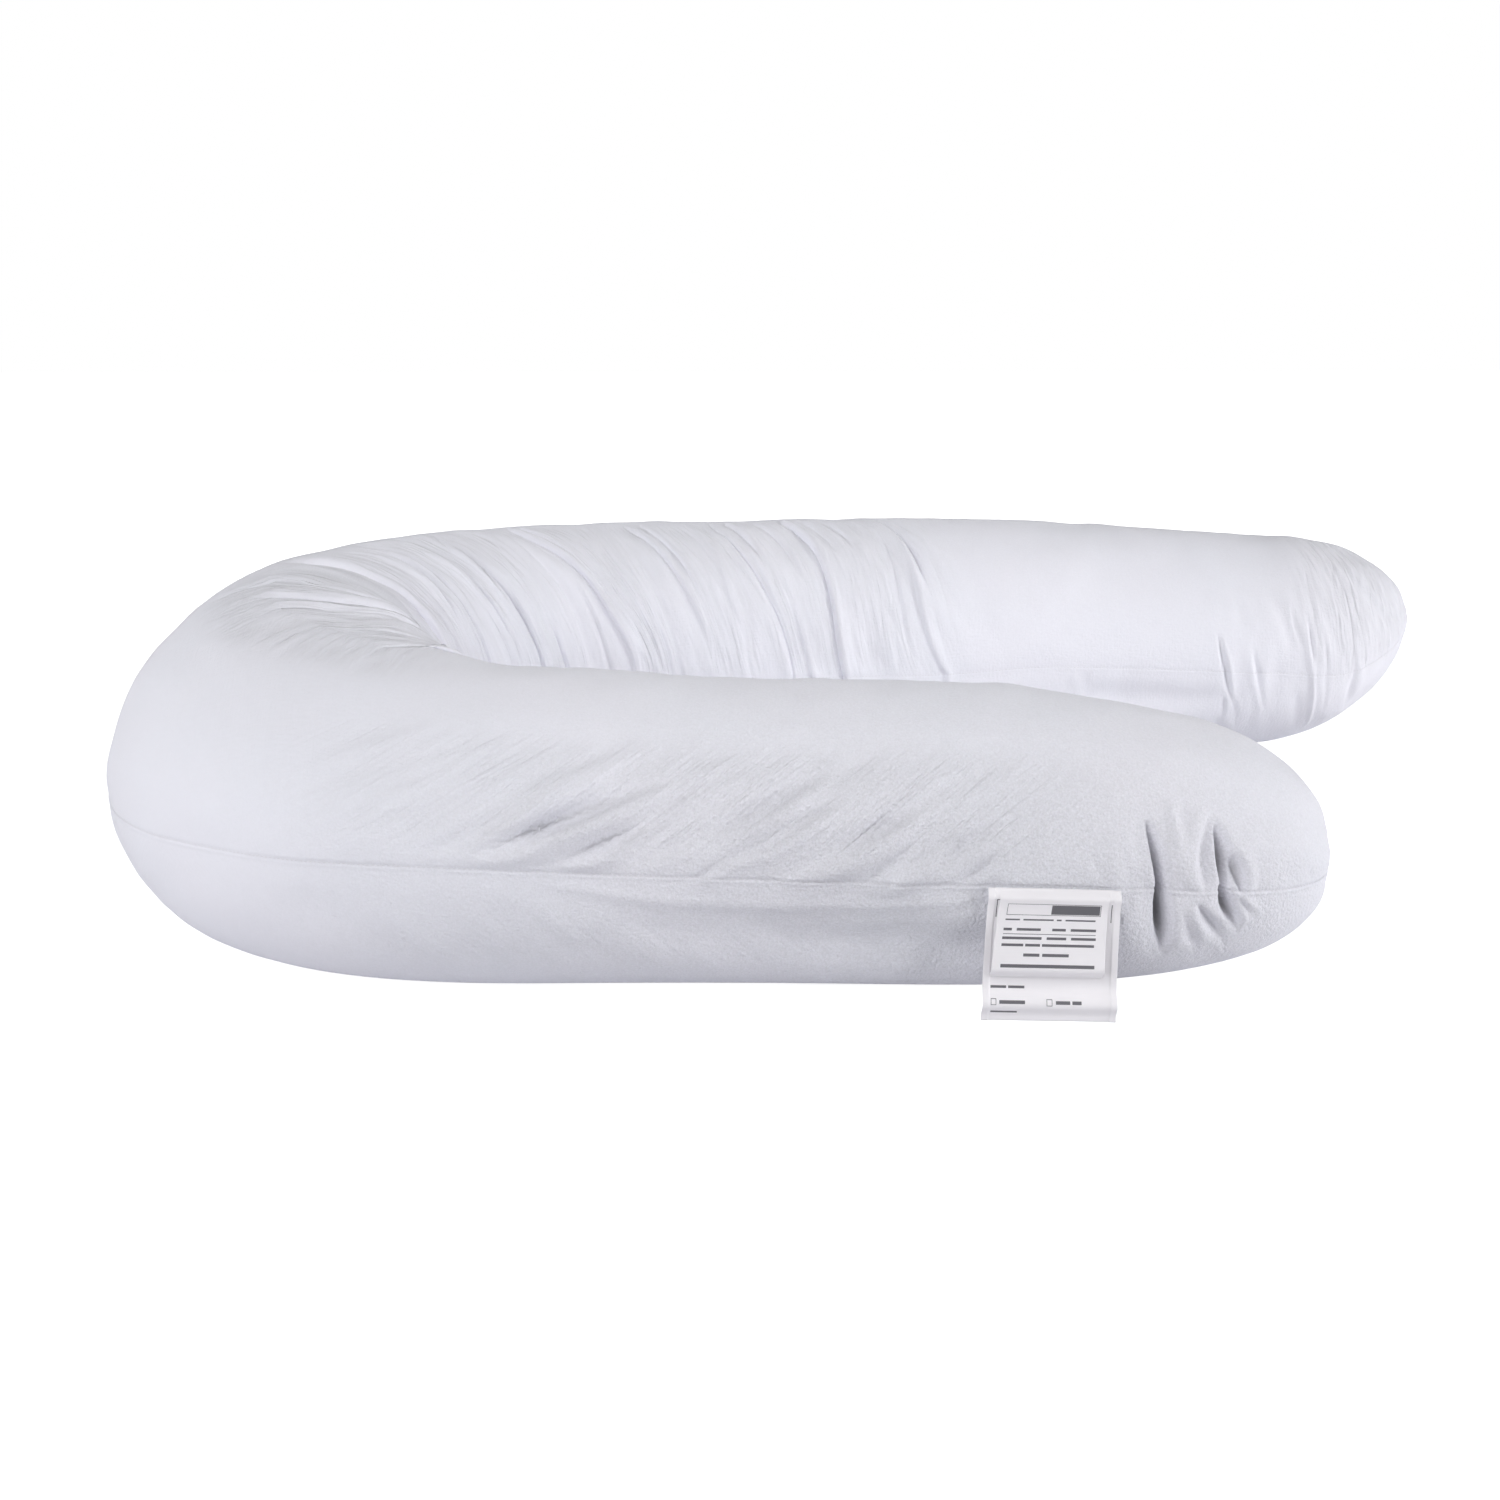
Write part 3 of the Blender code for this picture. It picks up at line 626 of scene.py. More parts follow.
class StudioSettings(bpy.types.PropertyGroup):
    """The camera, the floor and the lamps."""
    camera_place: bpy.props.FloatVectorProperty(
        name="Camera", description="Where the camera stands", subtype="TRANSLATION", unit="LENGTH", size=3,
        default=(-0.1105, -1.2153, 0.4574))
    camera_tilt: bpy.props.FloatProperty(
        name="Tilt", description="How far the camera looks down", subtype="ANGLE",
        default=math.radians(17.703))
    camera_heading: bpy.props.FloatProperty(
        name="Heading", description="How far the camera turns to the right", subtype="ANGLE",
        default=math.radians(1.122))
    lens: bpy.props.FloatProperty(
        name="Lens", description="Focal length for a 36 mm wide picture", unit="CAMERA", default=35.01)
    left_power: bpy.props.FloatProperty(
        name="Left lamp", description="Power of the large soft lamp at the front left", subtype="POWER",
        default=24.8, min=0)
    low_power: bpy.props.FloatProperty(
        name="Low lamp", description="Power of the soft lamp low at the front left", subtype="POWER",
        default=15.8, min=0)
    front_power: bpy.props.FloatProperty(
        name="Front lamp", description="Power of the soft lamp at the front", subtype="POWER",
        default=11.3, min=0)
    right_power: bpy.props.FloatProperty(
        name="Right lamp", description="Power of the low soft lamp on the right", subtype="POWER",
        default=37.0, min=0)
    side_power: bpy.props.FloatProperty(
        name="Side lamp", description="Power of the low soft lamp at the front right", subtype="POWER",
        default=31.8, min=0)
    back_power: bpy.props.FloatProperty(
        name="Back lamp", description="Power of the soft lamp behind the pillow on the left", subtype="POWER",
        default=19.2, min=0)
    rim_power: bpy.props.FloatProperty(
        name="Rim lamp", description="Power of the soft lamp behind the pillow on the right", subtype="POWER",
        default=8.4, min=0)
    fill_power: bpy.props.FloatProperty(
        name="Fill lamp", description="Power of the lamp that brightens the inner side of the longer arm",
        subtype="POWER", default=0.52, min=0)
    sky_strength: bpy.props.FloatProperty(
        name="Surround", description="Brightness of the surround as it lights the pillow",
        default=0.01, min=0)
    floor_glow: bpy.props.FloatProperty(
        name="Floor glow", description="How much the camera sees the white floor and surround lifted",
        default=0.88, min=0)


def smooth_step(value):
    value = np.clip(value, 0.0, 1.0)
    return value * value * (3 - 2 * value)


def between(value, first, last, soft):
    """1 between two places, easing to 0 at both over the soft length."""
    return smooth_step((value - first) / soft) * smooth_step((last - value) / soft)


def bend_quarter(side, power):
    """A quarter of the bend, from the arm's end to the middle of the bend."""
    turn = np.linspace(0.0, math.pi / 2, ROUTE_STEPS)
    along = -BEND_REACH * np.abs(np.sin(turn)) ** (2 / power)
    across = side * np.abs(np.cos(turn)) ** (2 / power)
    return np.column_stack([along, across])


def centreline():
    """Points of the U from the near tip to the far tip, and their distance along it."""
    share = np.linspace(0.0, 1.0, ROUTE_STEPS)
    near = np.column_stack([NEAR_ARM * share, -NEAR_SIDE - NEAR_SPLAY * share ** 2])[::-1]
    far = np.column_stack([FAR_ARM * share, FAR_SIDE + FAR_SPLAY * share ** 2])
    near_bend = bend_quarter(-NEAR_SIDE, NEAR_BEND_POWER)
    far_bend = bend_quarter(FAR_SIDE, FAR_BEND_POWER)[::-1]
    points = np.vstack([near[:-1], near_bend, far_bend[1:], far[1:]])
    points += (ARMS_START_X, MIDDLE_LINE_Y)
    steps = np.hypot(*np.diff(points, axis=0).T)
    return points, np.concatenate([[0.0], np.cumsum(steps)])


ROUTE, ROUTE_DISTANCE = centreline()
LENGTH = ROUTE_DISTANCE[-1]


def eased(rows, column, share):
    """A column of the section table, read on a smooth curve through its rows."""
    x = np.array([row.share for row in rows])
    y = np.array([getattr(row, column) for row in rows])
    slope = np.gradient(y, x)
    k = np.clip(np.searchsorted(x, share) - 1, 0, len(x) - 2)
    span = x[k + 1] - x[k]
    t = (share - x[k]) / span
    rest = 1 - t
    ends = y[k] * rest ** 2 * (1 + 2 * t) + y[k + 1] * t ** 2 * (1 + 2 * rest)
    return ends + span * t * rest * (slope[k] * rest - slope[k + 1] * t)


def closing(distance, taper, power):
    """1 along the tube, falling to 0 at a tip as a superellipse."""
    inward = np.clip(1 - distance / taper, 0.0, 1.0)
    return (1 - inward ** power) ** (1 / power)


def signed_power(value, power):
    return np.sign(value) * np.abs(value) ** power


def section_turn(angles):
    """How far across and up a unit section reaches at each angle."""
    turn = np.radians(angles)
    across, up = np.cos(turn), np.sin(turn)
    power = np.where(up >= 0, 2 / CROWN_POWER, 2 / BELLY_POWER)
    return signed_power(across, power), signed_power(up, power)


def route_points(stations):
    return np.stack([np.interp(stations, ROUTE_DISTANCE, ROUTE[:, k]) for k in (0, 1)], axis=-1)


def route_outward(stations):
    """The level direction from the middle of the U to its outside."""
    along = route_points(stations + DIRECTION_REACH) - route_points(stations - DIRECTION_REACH)
    along /= np.linalg.norm(along, axis=-1, keepdims=True)
    return np.stack([-along[..., 1], along[..., 0]], axis=-1)


def wrapped(angles):
    """The angles, with those past the wrap angle counted back from the outer seam."""
    return np.where(angles > WRAP_ANGLE, angles - FULL_TURN, angles)


def bell_round(angles, middle, reach):
    """1 at the middle angle, falling as a bell to both sides of it all round the tube."""
    away = (angles - middle + HALF_TURN) % FULL_TURN - HALF_TURN
    return np.exp(-(away / reach) ** 2)


def plain_skin(stations, angles):
    """Points of the tube without folds, for two grids of stations and angles of the same shape."""
    share = stations / LENGTH
    half_width = eased(SECTIONS, "half_width", share)
    rise = eased(SECTIONS, "rise", share)
    seam = eased(SECTIONS, "seam", share)
    belly = seam + BELLY_SINK
    lift = np.zeros_like(stations)
    for tip, distance in ((NEAR_TIP, stations), (FAR_TIP, LENGTH - stations)):
        height = closing(distance, tip.taper * HEIGHT_TAPER, tip.height_power)
        half_width = half_width * closing(distance, tip.taper, tip.width_power)
        rise = rise * height
        belly = belly * height
        lift += tip.lift * np.clip(1 - distance / (tip.taper * LIFT_TAPER), 0.0, 1.0) ** 2
    across, up = section_turn(angles)
    turn = np.radians(angles)
    height = seam + lift + np.where(up >= 0, rise, belly) * up
    reach = half_width * across
    for bulge in BULGES:
        share = np.exp(-np.abs((stations - bulge.station) / bulge.reach) ** BULGE_POWER)
        share = bulge.out * share * bell_round(angles, bulge.angle, bulge.spread)
        reach = reach + share * np.cos(turn)
        height = height + share * (np.sin(turn) + bulge.rise)
    for sag in SAGS:
        share = between(stations, sag.first, sag.last, SAG_ENDS)
        height = height - sag.drop * share * bell_round(angles, sag.angle, SAG_SPREAD)
    flat = route_points(stations) + route_outward(stations) * reach[..., None]
    return np.concatenate([flat, np.maximum(height, 0.0)[..., None]], axis=-1)


def facing(skin):
    """The outward normals of a skin whose columns go all the way round."""
    along = np.gradient(skin, axis=0)
    around = np.roll(skin, -1, axis=1) - np.roll(skin, 1, axis=1)
    normal = np.cross(along, around)
    normal /= np.maximum(np.linalg.norm(normal, axis=2, keepdims=True), TINY)
    away = skin - skin.mean(axis=1, keepdims=True)
    return normal if (normal * away).sum() > 0 else -normal


def spread(rows, first, last, crowded=()):
    """Places from first to last, as close as the spacing rows want, and closer at the crowded ones."""
    fine = np.linspace(first, last, ROUTE_SAMPLES)
    step = np.interp(fine, [row.place for row in rows], [row.step for row in rows])
    for place in crowded:
        near = np.exp(-((fine - place) / GATHER_REACH) ** 2)
        step *= 1 - (1 - GATHER_CROWDING) * near
    count = np.concatenate([[0.0], np.cumsum(np.diff(fine) / step[:-1])])
    return np.interp(np.linspace(0.0, count[-1], round(count[-1]) + 1), count, fine)


def half_angles(rows, first):
    """Angles of the grid lines over half a turn, from their distances round a typical section."""
    fine = np.linspace(first, first + HALF_TURN, ARC_SAMPLES)
    across, up = section_turn(fine)
    steps = np.hypot(np.diff(across) * TYPICAL_HALF_WIDTH, np.diff(up) * TYPICAL_RISE)
    arc = np.concatenate([[0.0], np.cumsum(steps)])
    return np.interp(spread(rows, 0.0, arc[-1]), arc, fine)


def gather_line(gather, angles):
    """The gather's station at each angle. Past the seam the grid eases back to straight rings."""
    course = np.polyfit(GATHER_ANGLES, gather[:4], 3)
    inside = np.clip(angles, GATHER_ANGLES[0], GATHER_ANGLES[-1])
    line = np.polyval(course, inside)
    back = smooth_step((angles - GATHER_EASE_START) / (GATHER_EASE_END - GATHER_EASE_START))
    return line + (gather.crown - line) * back


def cover_grid():
    """The cover's rings, its grid points' stations and angles, and the column of the inner seam."""
    top = half_angles(TOP_SPACINGS, 0.0)
    below = half_angles(BELLY_SPACINGS, HALF_TURN)
    angles = np.concatenate([top, below[1:-1]])
    crowns = [gather.crown for gather in GATHERS]
    rings = spread(RING_SPACINGS, 0.0, LENGTH, crowns)
    margin = 0.5 * (GATHERS[1].crown - GATHERS[0].crown)
    anchors = [0.0, crowns[0] - margin, crowns[-1] + margin, LENGTH]
    knots = np.array(anchors[:2] + crowns + anchors[2:])
    lines = np.array([gather_line(gather, angles) for gather in GATHERS])
    held = np.ones_like(angles)
    lines = np.vstack([anchors[0] * held, anchors[1] * held, lines,
                       (lines[-1] + margin)[None], anchors[3] * held])
    stations = np.column_stack([np.interp(rings, knots, column) for column in lines.T])
    return rings, stations, np.broadcast_to(angles, stations.shape), len(top) - 1


def noise(u, v, seed):
    """Smooth noise from about -1 to 1 with one wave to each unit, the same on every run."""
    turns = np.random.default_rng(seed).uniform(0.0, 2 * math.pi, (NOISE_CELLS, NOISE_CELLS))
    i, j = np.floor(u).astype(int), np.floor(v).astype(int)
    u, v = u - i, v - j
    fade_u, fade_v = (t * t * t * (t * (6 * t - 15) + 10) for t in (u, v))
    total = 0.0
    for a in (0, 1):
        for b in (0, 1):
            turn = turns[(i + a) % NOISE_CELLS, (j + b) % NOISE_CELLS]
            weight = (fade_u if a else 1 - fade_u) * (fade_v if b else 1 - fade_v)
            total = total + weight * (np.cos(turn) * (u - a) + np.sin(turn) * (v - b))
    return NOISE_GAIN * total


def lip_relief(aside, width, lip):
    """The ridge of cloth pushed up beside a fold."""
    beside = aside * math.copysign(1.0, lip) / width
    return abs(lip) * np.exp(-((beside - LIP_PLACE) / LIP_WIDTH) ** 2)


def gather_profile(aside, gather):
    """Across a gather: a narrow line, a gentle slope down to it on one side and a ridge on the other."""
    beside = aside * math.copysign(1.0, gather.lip) / gather.width
    line = np.exp(-np.abs(beside) ** GATHER_EDGE)
    slope = np.where(beside > 0, line, np.exp(-(beside / GATHER_SLOPE_WIDTH) ** 2))
    ridge = np.exp(-((beside - GATHER_LIP_PLACE) / GATHER_LIP_WIDTH) ** 2)
    ridge *= np.where(beside > 0, 1 - line, 0.0)
    dip = (1 - GATHER_SLOPE_SHARE) * line + GATHER_SLOPE_SHARE * slope
    return abs(gather.lip) * ridge - gather.depth * dip, line


def gather_relief(stations, angles, strength):
    """The relief of all gathers, and how deep each point lies in one."""
    relief = np.zeros_like(stations)
    tuck = np.zeros_like(stations)
    arc = angles * ARC_PER_DEGREE
    for number, gather in enumerate(GATHERS):
        line = gather_line(gather, angles[0])
        slope = np.gradient(line, arc[0])
        aside = (stations - line) / np.hypot(1.0, slope)
        shown = between(angles, gather.first, gather.last, GATHER_SOFT_ENDS)
        ripple = noise(arc / GATHER_UNEVEN_LENGTH, np.full_like(arc, number + 0.5), number)
        shown *= (1 + GATHER_UNEVEN * ripple) * strength
        profile, line = gather_profile(aside, gather)
        relief += shown * profile
        tuck = np.maximum(tuck, shown * line * gather.depth)
    return relief, tuck


def fold_line(fold):
    """Points along a fold, flattened out: metres along the tube and metres round it."""
    t = np.linspace(0.0, 1.0, FOLD_STEPS)[:, None]
    start, middle, end = (np.array(place, float) for place in (fold.start, fold.middle, fold.end))
    pull = 2 * middle - (start + end) / 2
    line = start * (1 - t) ** 2 + 2 * pull * t * (1 - t) + end * t ** 2
    return line * (1.0, ARC_PER_DEGREE)


def fold_relief(stations, angles, strength):
    """The relief of all folds, and how deep each point lies in one."""
    turned = wrapped(angles)
    place = np.stack([stations, turned * ARC_PER_DEGREE], axis=-1)
    relief = np.zeros_like(stations)
    tuck = np.zeros_like(stations)
    for fold in FOLDS:
        line = fold_line(fold)
        margin = fold.width * (LIP_PLACE + 3 * LIP_WIDTH)
        near = np.all((place > line.min(axis=0) - margin) & (place < line.max(axis=0) + margin), axis=-1)
        gap = place[near][:, None, :] - line
        nearest = (gap ** 2).sum(axis=2).argmin(axis=1)
        beside = gap[np.arange(len(gap)), nearest]
        along = np.gradient(line, axis=0)
        pace = np.linalg.norm(along, axis=1)
        along = (along / pace[:, None])[nearest]
        past = (beside * along).sum(axis=1)
        across = beside[:, 0] * along[:, 1] - beside[:, 1] * along[:, 0]
        aside = across * np.sign(along[:, 1])
        share = np.clip((nearest + past / pace[nearest]) / (FOLD_STEPS - 1), 0.0, 1.0)
        fullness = np.sin(math.pi * share)
        width = fold.width * (FOLD_NARROWEST + (1 - FOLD_NARROWEST) * fullness)
        sided = width * (1 + fold.skew * np.tanh(aside / width))
        trough = np.exp(-np.abs(aside / sided) ** fold.edge)
        shown = strength * fullness ** FOLD_END_POWER
        relief[near] += shown * (lip_relief(aside, width, fold.lip) - fold.depth * trough)
        tucked = fold.depth * min(1.0, SLOT_WIDTH / fold.width)
        tuck[near] = np.maximum(tuck[near], shown * trough * tucked)
    return relief, tuck


def wrinkle_relief(stations, angles, strength):
    """Small wrinkles, zone by zone, and how creased the cloth is at each point."""
    turned = wrapped(angles)
    arc = turned * ARC_PER_DEGREE
    relief = np.zeros_like(stations)
    worn = np.zeros_like(stations)
    for zone in WRINKLES:
        shown = between(stations, zone.first, zone.last, WRINKLE_SOFT_ENDS)
        shown *= between(turned, zone.low, zone.high, WRINKLE_SOFT_SIDES)
        warp = WRINKLE_WARP * noise(stations / WRINKLE_WARP_LENGTH, arc / WRINKLE_WARP_LENGTH, zone.seed + 1)
        u = (stations - zone.slant * (turned - zone.low)) / zone.across + warp
        wave = noise(u, arc / zone.along, zone.seed)
        if zone.sharp:
            patches = noise(u / PATCH_WIDER, arc / zone.along * PATCH_SHORTER, zone.seed + 2)
            patchy = smooth_step(0.5 + patches)
            wave = -patchy * np.exp(-np.abs(wave / WRINKLE_SHARPNESS))
            worn = np.maximum(worn, zone.fine * shown)
        relief += zone.height * shown * wave
    return strength * relief, strength * worn


def crease_flow(rings, stations, angles):
    """Two coordinates for the fine creases: one that is even along a crease, and one that runs along it."""
    turned = wrapped(angles)
    leaning = smooth_step((FLOW_ARM_END - stations) / FLOW_ARM_FADE)
    leaning *= smooth_step((FLOW_LEAN_END + FLOW_LEAN_FADE - turned) / FLOW_LEAN_FADE)
    lean = np.where(turned > 0, FLOW_LEAN_ABOVE, FLOW_LEAN_BELOW)
    lean = lean * np.clip(turned, -FLOW_LEAN_END, FLOW_LEAN_END)
    return rings[:, None] + lean * leaning, turned * ARC_PER_DEGREE


def seam_distance(skin, inner):
    """How far each point is above the nearer line of the seam, measured round the section."""
    steps = np.linalg.norm(np.diff(skin, axis=1, append=skin[:, :1]), axis=2)
    arc = np.concatenate([np.zeros((len(skin), 1)), np.cumsum(steps, axis=1)], axis=1)
    total, half = arc[:, -1:], arc[:, inner:inner + 1]
    arc = arc[:, :-1]
    top = np.arange(arc.shape[1]) <= inner
    return np.where(top, np.minimum(arc, half - arc), -np.minimum(arc - half, total - arc)), arc


def seam_relief(stations, angles, above, depth):
    """The groove of the seam, the turned edge below it and the cloth drawn in and puckered beside it."""
    plain = np.where(np.abs(angles - HALF_TURN) < HALF_TURN / 2, INNER_SEAM_SHARE, 1.0)
    groove = plain * np.exp(-((above - SEAM_GROOVE_AT) / SEAM_GROOVE_WIDTH) ** 2)
    edge = np.exp(-((above - SEAM_EDGE_AT) / SEAM_EDGE_WIDTH) ** 2)
    drawn = np.exp(-(above / SEAM_DRAW_WIDTH) ** 2)
    pucker = noise(stations / SEAM_PUCKER_LENGTH, above / SEAM_PUCKER_REACH, SEAM_PUCKER_SEED)
    pucker *= np.exp(-(above / SEAM_PUCKER_REACH) ** 2)
    relief = SEAM_EDGE_HEIGHT * plain * edge + SEAM_PUCKER * pucker - SEAM_DRAW * drawn - depth * groove
    return relief, groove


class Cover(NamedTuple):
    """The cover's points on its grid, the column of its inner seam and what its material reads."""
    points: np.ndarray
    inner: int
    layers: dict


def make_cover_points(settings):
    """The cover's points with all their relief, and what its material reads at each."""
    rings, stations, angles, inner = cover_grid()
    skin = plain_skin(stations, angles)
    above, arc = seam_distance(skin, inner)
    gathers, gather_tuck = gather_relief(stations, angles, settings.crease_strength)
    folds, fold_tuck = fold_relief(stations, angles, settings.crease_strength)
    wrinkles, worn = wrinkle_relief(stations, angles, settings.wrinkle_strength)
    seam, groove = seam_relief(stations, angles, above, settings.seam_depth)
    clear = smooth_step(skin[:, :, 2] / REST_FADE_HEIGHT)
    clear *= closing(stations, END_FADE, 2) * closing(LENGTH - stations, END_FADE, 2)
    relief = gathers + folds + wrinkles + seam
    points = skin + facing(skin) * (relief * clear)[..., None]
    points[:, :, 2] = np.maximum(points[:, :, 2], 0.0)

    # where each point lay on the flat panel that it was cut from
    half = arc[:, inner:inner + 1]
    from_crown = np.where(np.arange(arc.shape[1]) <= inner, half / 2 - arc, arc - 1.5 * half)
    panel = route_points(stations) + route_outward(stations) * from_crown[..., None]
    across, along = crease_flow(rings, stations, angles)
    # The material paints shade by the tuck, groove and worn layers; worn also sets the fine creases' bumps.
    layers = {"cloth": panel, "tuck": np.maximum(gather_tuck, fold_tuck) * clear, "groove": groove * clear,
              "worn": worn * clear, "across": across, "along": along}
    return Cover(points, inner, layers)


def grid_bmesh(points, extras):
    """A grid of faces at rows and columns of points, with extra values kept in layers of the same name."""
    rows, columns = points.shape[:2]
    bm = bmesh.new()
    uv = bm.loops.layers.uv.new("cloth")
    layers = {name: bm.verts.layers.float.new(name) for name in extras if name != "cloth"}
    bmesh.ops.create_grid(bm, x_segments=columns - 1, y_segments=rows - 1, size=0.5)
    for vertex in bm.verts:
        column = round((vertex.co.x + 0.5) * (columns - 1))
        row = round((vertex.co.y + 0.5) * (rows - 1))
        vertex.co = points[row, column]
        for name, layer in layers.items():
            vertex[layer] = extras[name][row, column]
        for loop in vertex.link_loops:
            loop[uv].uv = extras["cloth"][row, column]
    bm.normal_update()
    return bm


def closed(grid):
    """The grid with its first column repeated after its last."""
    return np.concatenate([grid, grid[:, :1]], axis=1)


def place_object(name, bm, material):
    mesh = bpy.data.meshes.new(name)
    bm.to_mesh(mesh)
    bm.free()
    mesh.shade_smooth()
    mesh.materials.append(material)
    thing = bpy.data.objects.new(name, mesh)
    bpy.context.scene.collection.objects.link(thing)
    return thing


class Ramp(NamedTuple):
    """A value that goes from low to high between two places, and stays level before and after."""
    first: float
    last: float
    low: float = 0.0
    high: float = 1.0


class FineCreases(NamedTuple):
    """Creases of one size in the material: their width, length and depth, and the slice of noise they use."""
    width: float
    length: float
    depth: float
    cut: float


# The cotton. Noise scales are in waves for each metre, bumps in metres.
COOL_TINT = (0.972, 1.002, 1.002)
MOTTLE_SCALE = 9.0
LINT_SCALE = 700.0
LINT_CONTRAST = Ramp(0.35, 0.65)
LINT_SHADE = 0.22
NAP_SCALE = 420.0
NAP_BUMP = 0.0020
SLUB_STRETCHES = ((520.0, 80.0, 1.0), (80.0, 520.0, 1.0))
SLUB_BUMP = 0.0006
WEAVE_BUMP = 0.00002
COTTON_ROUGHNESS = Ramp(0.3, 0.7, 0.82, 0.92)
COTTON_FINISH = {"Sheen Weight": 0.12, "Sheen Roughness": 0.5, "Specular IOR Level": 0.25}
# How brushed the cloth is along the arms, across the pillow, and close above the near arm's outer seam.
BRUSHED_ALONG = Ramp(-0.46, -0.05, 0.08, 1.0)
BRUSHED_ACROSS = Ramp(-0.385, 0.0, 1.0, 0.45)
BRUSHED_FRONT = Ramp(-0.380, -0.330, 2.2, 1.0)
# How much painted shade, in the crease colour, darkens the cotton by the depth of a tuck, and a darker
# painted shade in the deepest slots.
TUCK_SHADE = Ramp(0.0040, 0.0110, 0.0, 0.85)
SLOT_SHADE = Ramp(0.0096, 0.0140, 0.0, 0.6)
SLOT_DARKNESS = 0.4
# Painted shade in the seam's groove and along the fine creases of the material.
GROOVE_SHADE = 0.13
CREASE_SHADE = 0.19
FINE_CREASES = (
    FineCreases(width=0.0080, length=0.070, depth=0.0009, cut=0.5),
    FineCreases(width=0.0180, length=0.110, depth=0.0019, cut=3.5),
)
# A fine crease lies where its noise comes this close to the middle value.
CREASE_LINE = Ramp(0.0, 0.22, 1.0, 0.0)
CREASE_SHARPNESS = 1.6

# The thread and the satin.
THREAD_TWIST = 900.0
THREAD_SHADE = 0.85
THREAD_BUMP = 0.00008
THREAD_FINISH = {"Roughness": 0.6}
SATIN_STREAKS = (60.0, 2600.0, 1.0)
SATIN_SHADE = 0.95
SATIN_STREAK_BUMP = 0.00005
SATIN_RIB_PITCH = 0.0003
SATIN_RIB_BUMP = 0.00002
SATIN_FINISH = {"Roughness": 0.36, "Metallic": 0.08, "Specular IOR Level": 0.6, "Anisotropic": 0.8,
                "Sheen Weight": 0.1}
PRINT_COVER = 0.88

# The floor. Its glow grows from one distance to another, so that no horizon shows.
FLOOR_COLOURS = ((0.77, 0.77, 0.80, 1.0), (0.79, 0.79, 0.82, 1.0))
FLOOR_CLOUDS = 1.5
FLOOR_FINISH = {"Roughness": 0.9, "Specular IOR Level": 0.0, "Emission Color": (1.0, 1.0, 1.0, 1.0)}
GLOW_NEAR = 0.65
GLOW_FAR = 1.5
GLOW_GROWTH = 1.2
GLOW_ADDED = 0.2


class Nodes:
    """Short calls for building a material's nodes."""

    def __init__(self, name):
        self.material = bpy.data.materials.new(name)
        self.material.use_nodes = True
        self.tree = self.material.node_tree
        self.shader = self.tree.nodes["Principled BSDF"]

    def add(self, kind, inputs=(), **values):
        node = self.tree.nodes.new(kind)
        for key, value in values.items():
            setattr(node, key, value)
        for key, value in dict(inputs).items():
            self.set(node, key, value)
        return node

    def set(self, node, key, value):
        """Links a socket to the input, or sets the input's value."""
        if isinstance(value, bpy.types.NodeSocket):
            self.tree.links.new(value, node.inputs[key])
        else:
            node.inputs[key].default_value = value

    def maths(self, operation, first, second=0.0):
        node = self.add("ShaderNodeMath", {0: first, 1: second}, operation=operation)
        return node.outputs[0]

    def blend(self, share, first, second):
        """A colour between two, by share."""
        node = self.add("ShaderNodeMix", {"Factor": share}, data_type="RGBA")
        for key, value in (("A", first), ("B", second)):
            socket = next(s for s in node.inputs if s.name == key and s.type == "RGBA")
            if isinstance(value, bpy.types.NodeSocket):
                self.tree.links.new(value, socket)
            else:
                socket.default_value = value
        return next(s for s in node.outputs if s.type == "RGBA")

    def ramp(self, value, span):
        inputs = {"Value": value, 1: span.first, 2: span.last, 3: span.low, 4: span.high}
        return self.add("ShaderNodeMapRange", inputs).outputs[0]

    def polish(self, finish):
        """Sets the shader's own sockets that are the same all over."""
        for name, value in finish.items():
            self.shader.inputs[name].default_value = value

    def bump(self, height, distance, strength, below=None):
        inputs = {"Height": height, "Distance": distance, "Strength": strength}
        if below is not None:
            inputs["Normal"] = below
        return self.add("ShaderNodeBump", inputs).outputs["Normal"]

    def noise(self, vector, scale, detail, roughness=0.5):
        inputs = {"Vector": vector, "Scale": scale, "Detail": detail, "Roughness": roughness}
        return self.add("ShaderNodeTexNoise", inputs).outputs["Fac"]


def weave_height(nodes, uv, pitch):
    """Plain weave: threads over and under each other, along and across the panel."""
    apart = nodes.add("ShaderNodeSeparateXYZ", {0: uv})
    waves = [nodes.maths("SINE", nodes.maths("MULTIPLY", apart.outputs[k], math.pi / pitch)) for k in (0, 1)]
    return nodes.maths("MULTIPLY", waves[0], waves[1])


def slub_height(nodes, uv, stretch):
    """Uneven threads: noise drawn out along one thread direction."""
    drawn = nodes.add("ShaderNodeMapping", {"Vector": uv, "Scale": stretch})
    return nodes.noise(drawn.outputs[0], 1.0, 3.0)


def creases(nodes, across, along, kind):
    """Thin lines where a noise that is drawn out along the cloth's folds crosses its middle value: 0 to 1."""
    sizes = ((across, kind.width), (along, kind.length))
    scaled = [nodes.maths("DIVIDE", coordinate, size) for coordinate, size in sizes]
    vector = nodes.add("ShaderNodeCombineXYZ", {0: scaled[0], 1: scaled[1], 2: kind.cut}).outputs[0]
    field = nodes.noise(vector, 1.0, 2.0, 0.55)
    off_middle = nodes.maths("ABSOLUTE", nodes.maths("SUBTRACT", field, 0.5))
    return nodes.maths("POWER", nodes.ramp(off_middle, CREASE_LINE), CREASE_SHARPNESS)


def attribute(nodes, name):
    return nodes.add("ShaderNodeAttribute", attribute_name=name).outputs["Fac"]


